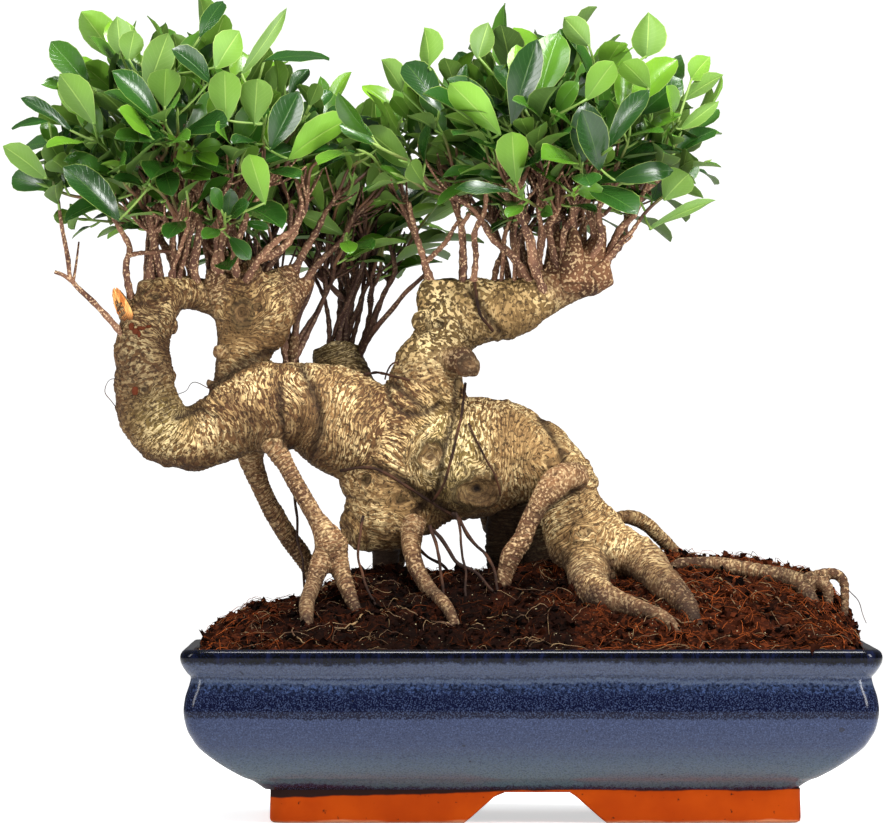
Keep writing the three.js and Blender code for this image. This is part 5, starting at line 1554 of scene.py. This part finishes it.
def branchlets(paths, each=2):
    """Bare side twigs: each starts inside its stem at a random station, goes on along the stem's way
    with a random turn, and curves upward."""
    paths = np.repeat(paths, each, axis=0)
    row = np.arange(len(paths))
    station = random.integers(3, TWIG_STATIONS - 5, len(paths))
    start = paths[row, station]
    ahead = unit(paths[row, station + 3] - start)
    aim = unit(ahead + 0.8 * unit(random.normal(size=ahead.shape)))
    aim[:, 2] = np.maximum(aim[:, 2], 0.1)
    length = random.uniform(10, 30, (len(paths), 1))
    bend = start + aim * length * 0.5
    end = start + (aim + [0, 0, 0.35]) * length
    taper = np.linspace(1.0, 0.55, 7)[None] * random.uniform(0.8, 1.2, (len(paths), 1))
    return tubes(bezier(start, bend, end, 7), taper, 5)


def make_twigs(wood, green, numbers, stems):
    """Woody stems and twigs that thin out, with a swelling at each old leaf scar, and green stems
    that carry them on and end in a pointed bud. Returns the green stems' form and how young each of
    their points is."""
    stations = wood.shape[1]
    taper = np.linspace(0, 1, stations)[None, :]
    first = np.where(numbers >= 0, 2.0, 1.5)[:, None]
    radii = first * (1 - taper) + 1.25 * taper
    thicker = random.uniform(1.4, 2.3, (len(stems), 1)) * (1 - taper) + 1.3 * taper
    listed = np.array([curve(route, stations) for route in LOOSE_TWIGS + RISERS + SIDE_STEMS])
    listed[len(LOOSE_TWIGS):, :, 3] *= STEM_SLIM
    paths = np.concatenate([wood, stems, bent(listed[..., :3])])
    radii = np.concatenate([radii, thicker, listed[..., 3]])
    paths = evenly(paths, TWIG_STATIONS)
    steps = np.linspace(0, 1, TWIG_STATIONS)
    radii = np.array([np.interp(steps, taper[0], r) for r in radii])
    beat = np.sin(np.arange(TWIG_STATIONS) * 2.1 + 1.7 * np.arange(len(paths))[:, None])
    radii *= 1 + 0.28 * np.clip(beat, -0.3, 1) ** 3 + 0.16 * noise(paths, 5, 40)
    finish = twig_finish()
    add_piece("twigs", tubes(paths, radii, 8), finish, "bark")
    add_piece("branchlets", branchlets(paths[:len(wood)]), finish, "bark")
    last = green[:, -1:] - green[:, -2:-1]
    bud = green[:, -1:] + unit(last) * np.array([1.5, 4.5, 8.0])[None, :, None]
    paths = np.concatenate([green, bud], axis=1)
    taper = np.linspace(1.25, 0.9, green.shape[1])
    radii = np.concatenate([taper, [1.2, 0.85, 0.15]])[None] * np.ones((len(green), 1))
    youth = np.clip(np.linspace(-0.7, 1.6, paths.shape[1]), 0, 1)
    return tubes(paths, radii, 6), np.repeat(np.tile(youth, len(paths)), 6)


# ---- leaves -----------------------------------------------------------------------------------------
# The columns of the table of leaves. A leaf's shape is a number from 0 to 1 that folds and waves it,
# and its rank is 0 if it leads, 1 on a shoot of the solid model and 2 beyond it.
ROOT, BASE, TIP, WIDTH, UP = slice(0, 3), slice(3, 6), slice(6, 9), 9, slice(10, 13)
SHAPE, TONE, CROWN, RANK = 13, 14, 15, 16
BLADE_ROWS = np.array([0, 0.1, 0.26, 0.44, 0.62, 0.8, 0.92, 1.0])
BLADE_HALF = np.array([0.05, 0.28, 0.62, 0.91, 1.0, 0.85, 0.49, 0.03])
BLADE_COLUMNS = np.array([-1, -0.5, 0, 0.5, 1])


def leaf_template():
    """Faces and corner map of one leaf: an upper and a lower grid that share the margins and split
    their faces along the same diagonals, and an end cap at the base and the tip."""
    rows, columns = len(BLADE_ROWS), len(BLADE_COLUMNS)
    top = np.arange(rows * columns).reshape(rows, columns)
    inner = rows * columns + np.arange(rows * (columns - 2)).reshape(rows, columns - 2)
    low = np.column_stack([top[:, 0], inner, top[:, -1]])
    u, v = np.meshgrid(np.linspace(0, 1, columns), BLADE_ROWS)
    faces, maps = [], []
    for sheet, shift, order in ((top, 0.0, [0, 1, 2, 3]), (low, 2.0, [0, 3, 2, 1])):
        for grid, found in ((sheet, faces), (np.stack([u + shift, v], -1), maps)):
            quads = np.stack([grid[:-1, :-1], grid[:-1, 1:], grid[1:, 1:], grid[1:, :-1]], 2)
            found.append(quads[:, :, order].reshape(-1, 4, *grid.shape[2:]))
    ends = np.stack([np.append(top[0, ::-1], low[0, 1:-1]), np.append(top[-1], low[-1, -2:0:-1])])
    end_map = np.full((2, ends.shape[1], 2), 0.5)
    return np.concatenate(faces), ends, np.concatenate(maps), end_map


def blades(base, tip, width, up, shape):
    """Leaf blades: the middle line arches over the straight from base to tip by arch t(1-t), the half
    width follows the leaf's outline, the halves fold up from the midrib and the margin waves."""
    count = len(base)
    line = tip - base
    length = np.linalg.norm(line, axis=1)[:, None, None]
    across = unit(np.cross(line, up))
    face = unit(np.cross(across, line))
    t = BLADE_ROWS[None, :, None]
    v = BLADE_COLUMNS[None, None, :]
    half = 0.5 * width[:, None, None] * BLADE_HALF[None, :, None]
    fold = (0.12 + 0.36 * shape)[:, None, None]
    wave = 0.02 * length * np.sin(9 * t + 6.28 * shape[:, None, None] + np.sign(v)) * np.abs(v)
    lift = LEAF["arch"] * length * t * (1 - t) + fold * half * np.abs(v) + wave
    body = 0.28 * (1 - v**2) * np.ones_like(lift)
    flat = base[:, None, None] + line[:, None, None] * t[..., None]
    flat = flat + across[:, None, None] * (half * v)[..., None]
    top = flat + face[:, None, None] * (lift + body)[..., None]
    low = (flat + face[:, None, None] * (lift - body)[..., None])[:, :, 1:-1]
    return np.concatenate([top.reshape(count, -1, 3), low.reshape(count, -1, 3)], axis=1)


def make_leaf_piece(name, leaves, nodes, material):
    """One piece of leaves, which stands for the leafy nodes in its crown."""
    quads, ends, quad_map, end_map = leaf_template()
    points = blades(*(leaves[:, column] for column in (BASE, TIP, WIDTH, UP, SHAPE)))
    count, each = points.shape[:2]
    faces = [copies(quads, count, each), copies(ends, count, each)]
    uv = np.concatenate([np.tile(quad_map.reshape(-1, 2), (count, 1)),
                         np.tile(end_map.reshape(-1, 2), (count, 1))])
    tone = np.repeat(leaves[:, TONE], each)
    mesh = new_mesh(name, points.reshape(-1, 3), faces, uv=uv, values={"tone": tone})
    piece = new_piece(name, mesh, material, 60)
    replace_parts(piece, *nodes)


def ruled_leaves(green, crowns, numbers, scales):
    """Leaves by rule round every stem, turned by the golden angle and less splayed to the tip. The
    upper face looks to the stem in half of them and out of the crown in the rest."""
    rows = []
    for shoot, (path, which, number, scale) in enumerate(zip(green, crowns, numbers, scales)):
        listed = number >= 0
        seed = number if listed else shoot + 100
        k = np.arange(LEAVES_PER_SHOOT)
        k = np.concatenate([k, k[:-1] + 0.5] if listed else [k, [3.5]])
        t = 0.1 + 0.9 * k / (LEAVES_PER_SHOOT - 1)
        steps = np.linspace(0, 1, len(path))
        root = rows_at(t, steps, path)
        axis = unit(rows_at(t, steps, np.gradient(path, axis=0)))
        angle = k * GOLDEN_ANGLE + seed * 1.1 + np.where(k % 1 > 0, 2.2, 0)
        splay = np.radians(64 - 42 * t + 10 * draw(seed, k))
        side = unit(np.cross(np.array([[1.0, 0, 0]]), axis))
        other = np.cross(axis, side)
        out = side * np.cos(angle)[:, None] + other * np.sin(angle)[:, None]
        along = axis * np.cos(splay)[:, None] + out * np.sin(splay)[:, None]
        own_up = axis * np.sin(splay)[:, None] - out * np.cos(splay)[:, None]
        size = scale * np.where(k % 1 > 0, 0.78, 1.0)
        length = size * (LEAF["length"] + LEAF["spread"] * (draw(seed + 50, k) - 0.5))
        base = root + along * (LEAF["petiole"] * (0.5 + 0.5 * size))[:, None]
        droop = (0.45 if listed else 0.1) * LEAF["arch"]
        tip = base + along * length[:, None] - own_up * (droop * length)[:, None]
        outward = unit(base - np.array(CROWNS[which]["heart"]))
        shown = (draw(seed + 21, k) < 0.55)[:, None]
        up = unit(np.where(shown, own_up + 0.15 * outward, 0.4 * own_up + 0.7 * outward + [0, 0, 0.3]))
        young = np.clip((t - 0.62) / 0.38, 0, 1) * draw(seed + 9, 3)
        tone = np.clip(0.1 + 0.4 * draw(seed + 3, k) + 0.55 * young + 0.12 * (which == 2), 0, 1)
        rows.append(np.column_stack([
            root, base, tip, LEAF["width"] * length * (0.85 + 0.25 * draw(seed + 33, k)), up,
            draw(seed + 7, k + 1), tone, np.full(len(k), which), np.full(len(k), 2 - listed)]))
    return np.concatenate(rows)


def leading_leaves(green):
    """The large single leaves, each rooted at the nearest place on a green stem."""
    tip = np.array([leaf[0] for leaf in LEADING_LEAVES], float)
    base = np.array([leaf[1] for leaf in LEADING_LEAVES], float)
    width = np.array([leaf[2] for leaf in LEADING_LEAVES], float)
    tone = np.array([leaf[3] for leaf in LEADING_LEAVES], float)
    places = green[:, 2:].reshape(-1, 3)
    root = places[np.linalg.norm(base[:, None] - places[None], axis=2).argmin(1)]
    which = np.where(base[:, 0] < -150, 0, np.where(base[:, 1] > 10, 2, 1))
    turned = np.where(tone[:, None] > 0.3, [1.0, -1.0, 0.4], 1.0)
    up = FRONT_UP * turned + 0.35 * np.column_stack([
        draw(np.arange(len(tip)), k) - 0.5 for k in range(3)])
    shape = draw(np.arange(len(tip)), 5)
    return np.column_stack([root, base, tip, width, unit(up), shape, tone, which, 0 * tone])


def thinned(rows):
    """Leaves without those that lie too near one listed earlier, that cross or hide a leading leaf,
    or that reach past the outline on the right."""
    base, tip, rank = rows[:, BASE], rows[:, TIP], rows[:, RANK]
    middle = (base + tip) / 2
    gap = np.linalg.norm(middle[:, None] - middle[None], axis=2)
    later = (rank[:, None] > rank[None]) | ((rank[:, None] == rank[None])
                                           & (np.arange(len(rows))[:, None] > np.arange(len(rows))))
    crowded = ((gap < CROWDED) & later).any(1)
    leading = rank == 0
    shares = np.array([0.15, 0.5, 0.85])[None, :, None]
    parts = base[:, None] + (tip - base)[:, None] * shares
    apart = np.linalg.norm(parts[:, :, None, None] - parts[None, None, leading], axis=-1)
    crossing = (apart.min(axis=(1, 3)) < CROSSING).any(1)
    flat = np.linalg.norm((middle[:, None] - middle[None, leading])[..., [0, 2]], axis=2)
    in_front = middle[:, 1][:, None] < middle[None, leading, 1] + 4
    hiding = ((flat < HIDING) & in_front).any(1)
    beyond = tip[:, 0] > OUTLINE_RIGHT
    return rows[~(crowded | ((crossing | hiding | beyond) & ~leading))]


def make_foliage():
    """Twigs, green stems with their leaf stalks, and one piece of leaves for each crown, which
    replaces the leafy nodes of that crown."""
    wood, green, crowns, numbers, scales, stems = all_shoots()
    wood, green, stems = bent(wood), bent(green), bent(stems)
    green_form, youth = make_twigs(wood, green, numbers, stems)
    rows = thinned(np.concatenate([leading_leaves(green), ruled_leaves(green, crowns, numbers, scales)]))
    root, base = rows[:, ROOT], rows[:, BASE]
    sag = (root + base) / 2 + [0, 0, -1.0]
    petioles = tubes(bezier(root, sag, base + unit(rows[:, TIP] - base) * 1.5, 5),
                     np.full((len(rows), 5), 0.85), 5)
    young = np.concatenate([youth, np.ones(len(petioles[0]))])
    form = joined([green_form, petioles])
    add_piece("green_stems", form, green_stem_finish(), "foliage", young=young)
    shoots = [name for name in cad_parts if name.startswith("shoot_")]
    middles = [sum(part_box(name), start=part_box(name)[0] * 0) / 2 / MM for name in shoots]
    owners = [nearest_crown(np.array(middle) - POT_MIDDLE) for middle in middles]
    material = leaf_finish()
    for which, name in enumerate(["leaves_left", "leaves_right", "leaves_back"]):
        nodes = [node for node, owner in zip(shoots, owners) if owner == which]
        make_leaf_piece(name, rows[rows[:, CROWN] == which], nodes, material)


# ---- camera and light -------------------------------------------------------------------------------
CAMERA_PLACE, CAMERA_LENS = (-56.6, -6860, 263.6), 425.4
# Each lamp's place and aim in metres, its width and height, and its power in watts.
LAMPS = {
    "left_lamp": ((-1.7, -1.0, 1.2), (0, 0, 0.25), (0.35, 1.4), 26),
    "right_lamp": ((1.5, -1.5, 1.2), (0, 0, 0.25), (0.4, 1.4), 54),
    "top_lamp": ((0.2, -0.7, 2.1), (0, 0, 0.3), (0.8, 0.5), 50),
}


def make_camera():
    """A long lens at the height of the trunk, looking along +Y."""
    data = bpy.data.cameras.new("camera")
    data.sensor_width = 36.0
    data.lens = CAMERA_LENS
    data.clip_end = 100
    camera = bpy.data.objects.new("camera", data)
    camera.location = (np.array(CAMERA_PLACE) + POT_MIDDLE) * MM
    camera.rotation_euler = (np.pi / 2, 0, 0)
    bpy.context.scene.collection.objects.link(camera)
    bpy.context.scene.camera = camera


def add_lamp(name, place, aim, size, power):
    """An area lamp: tipped from straight down by the first angle, then turned round by the other."""
    data = bpy.data.lights.new(name, "AREA")
    data.shape = "RECTANGLE"
    data.size, data.size_y = size
    data.energy = power
    lamp = bpy.data.objects.new(name, data)
    lamp.location = place
    x, y, z = np.subtract(aim, place)
    lamp.rotation_euler = (np.arctan2(np.hypot(x, y), -z), 0, np.arctan2(-x, y))
    bpy.context.scene.collection.objects.link(lamp)


def make_studio():
    """A pale floor under a white sky, with soft lamps to both sides, above and in front."""
    size = 6.0
    corners = np.array([(-size, -size * 1.5, 0), (size, -size * 1.5, 0), (size, size, 0),
                        (-size, size, 0)]) / MM - POT_MIDDLE
    mesh = new_mesh("floor", corners, [np.array([[0, 1, 2, 3]])])
    material, nodes, shader = new_material("floor_paint", Base_Color=(0.85, 0.85, 0.85, 1),
                                           Roughness=0.9, Emission_Color=(1, 1, 1, 1))
    seen = nodes.add("LightPath").outputs["Is Camera Ray"]
    material.node_tree.links.new(nodes.times(seen, 0.6), shader.inputs["Emission Strength"])
    mesh.materials.append(material)
    floor = bpy.data.objects.new("floor", mesh)
    bpy.context.scene.collection.objects.link(floor)
    world = bpy.data.worlds.new("sky")
    world.use_nodes = True
    nodes = Nodes(world.node_tree)
    background = world.node_tree.nodes["Background"]
    background.inputs["Color"].default_value = (1, 1, 1, 1)
    ray = nodes.add("LightPath").outputs
    seen = nodes.times(ray["Is Camera Ray"], 0.6)
    mirrored = nodes.times(ray["Is Glossy Ray"], -0.35)
    strength = nodes.plus(nodes.plus(seen, 0.5), mirrored)
    world.node_tree.links.new(strength, background.inputs["Strength"])
    bpy.context.scene.world = world
    for name, settings in LAMPS.items():
        add_lamp(name, *settings)
    bpy.context.scene.view_settings.view_transform = "Standard"


# ---- the whole --------------------------------------------------------------------------------------
make_camera()
make_glazed_body()
make_foot()
plastic = plastic_finish()
for name in ("drain_screen_left", "drain_screen_right"):
    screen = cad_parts[name]
    screen.data.materials.clear()
    screen.data.materials.append(plastic)
make_soil()
make_crumbs()
make_fibres()
bark = bark_finish()
trunk_points = []
for name, limbs, knots, creases, voxel in [
    ("trunk_loop", LOOP_LIMBS, LOOP_KNOTS, LOOP_CREASES, 1.1),
    ("trunk_base", BASE_LIMBS, BASE_KNOTS, BASE_CREASES, 1.03),
    ("trunk_leg", LEG_LIMBS, LEG_KNOTS, LEG_CREASES, 1.06),
]:
    piece, points = make_limbs(name, limbs, knots, creases, bark, voxel)
    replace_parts(piece, "tree")
    trunk_points.append(points)
make_thin_roots(np.concatenate(trunk_points))
make_torn_wood(trunk_points[0])
make_foliage()
make_studio()
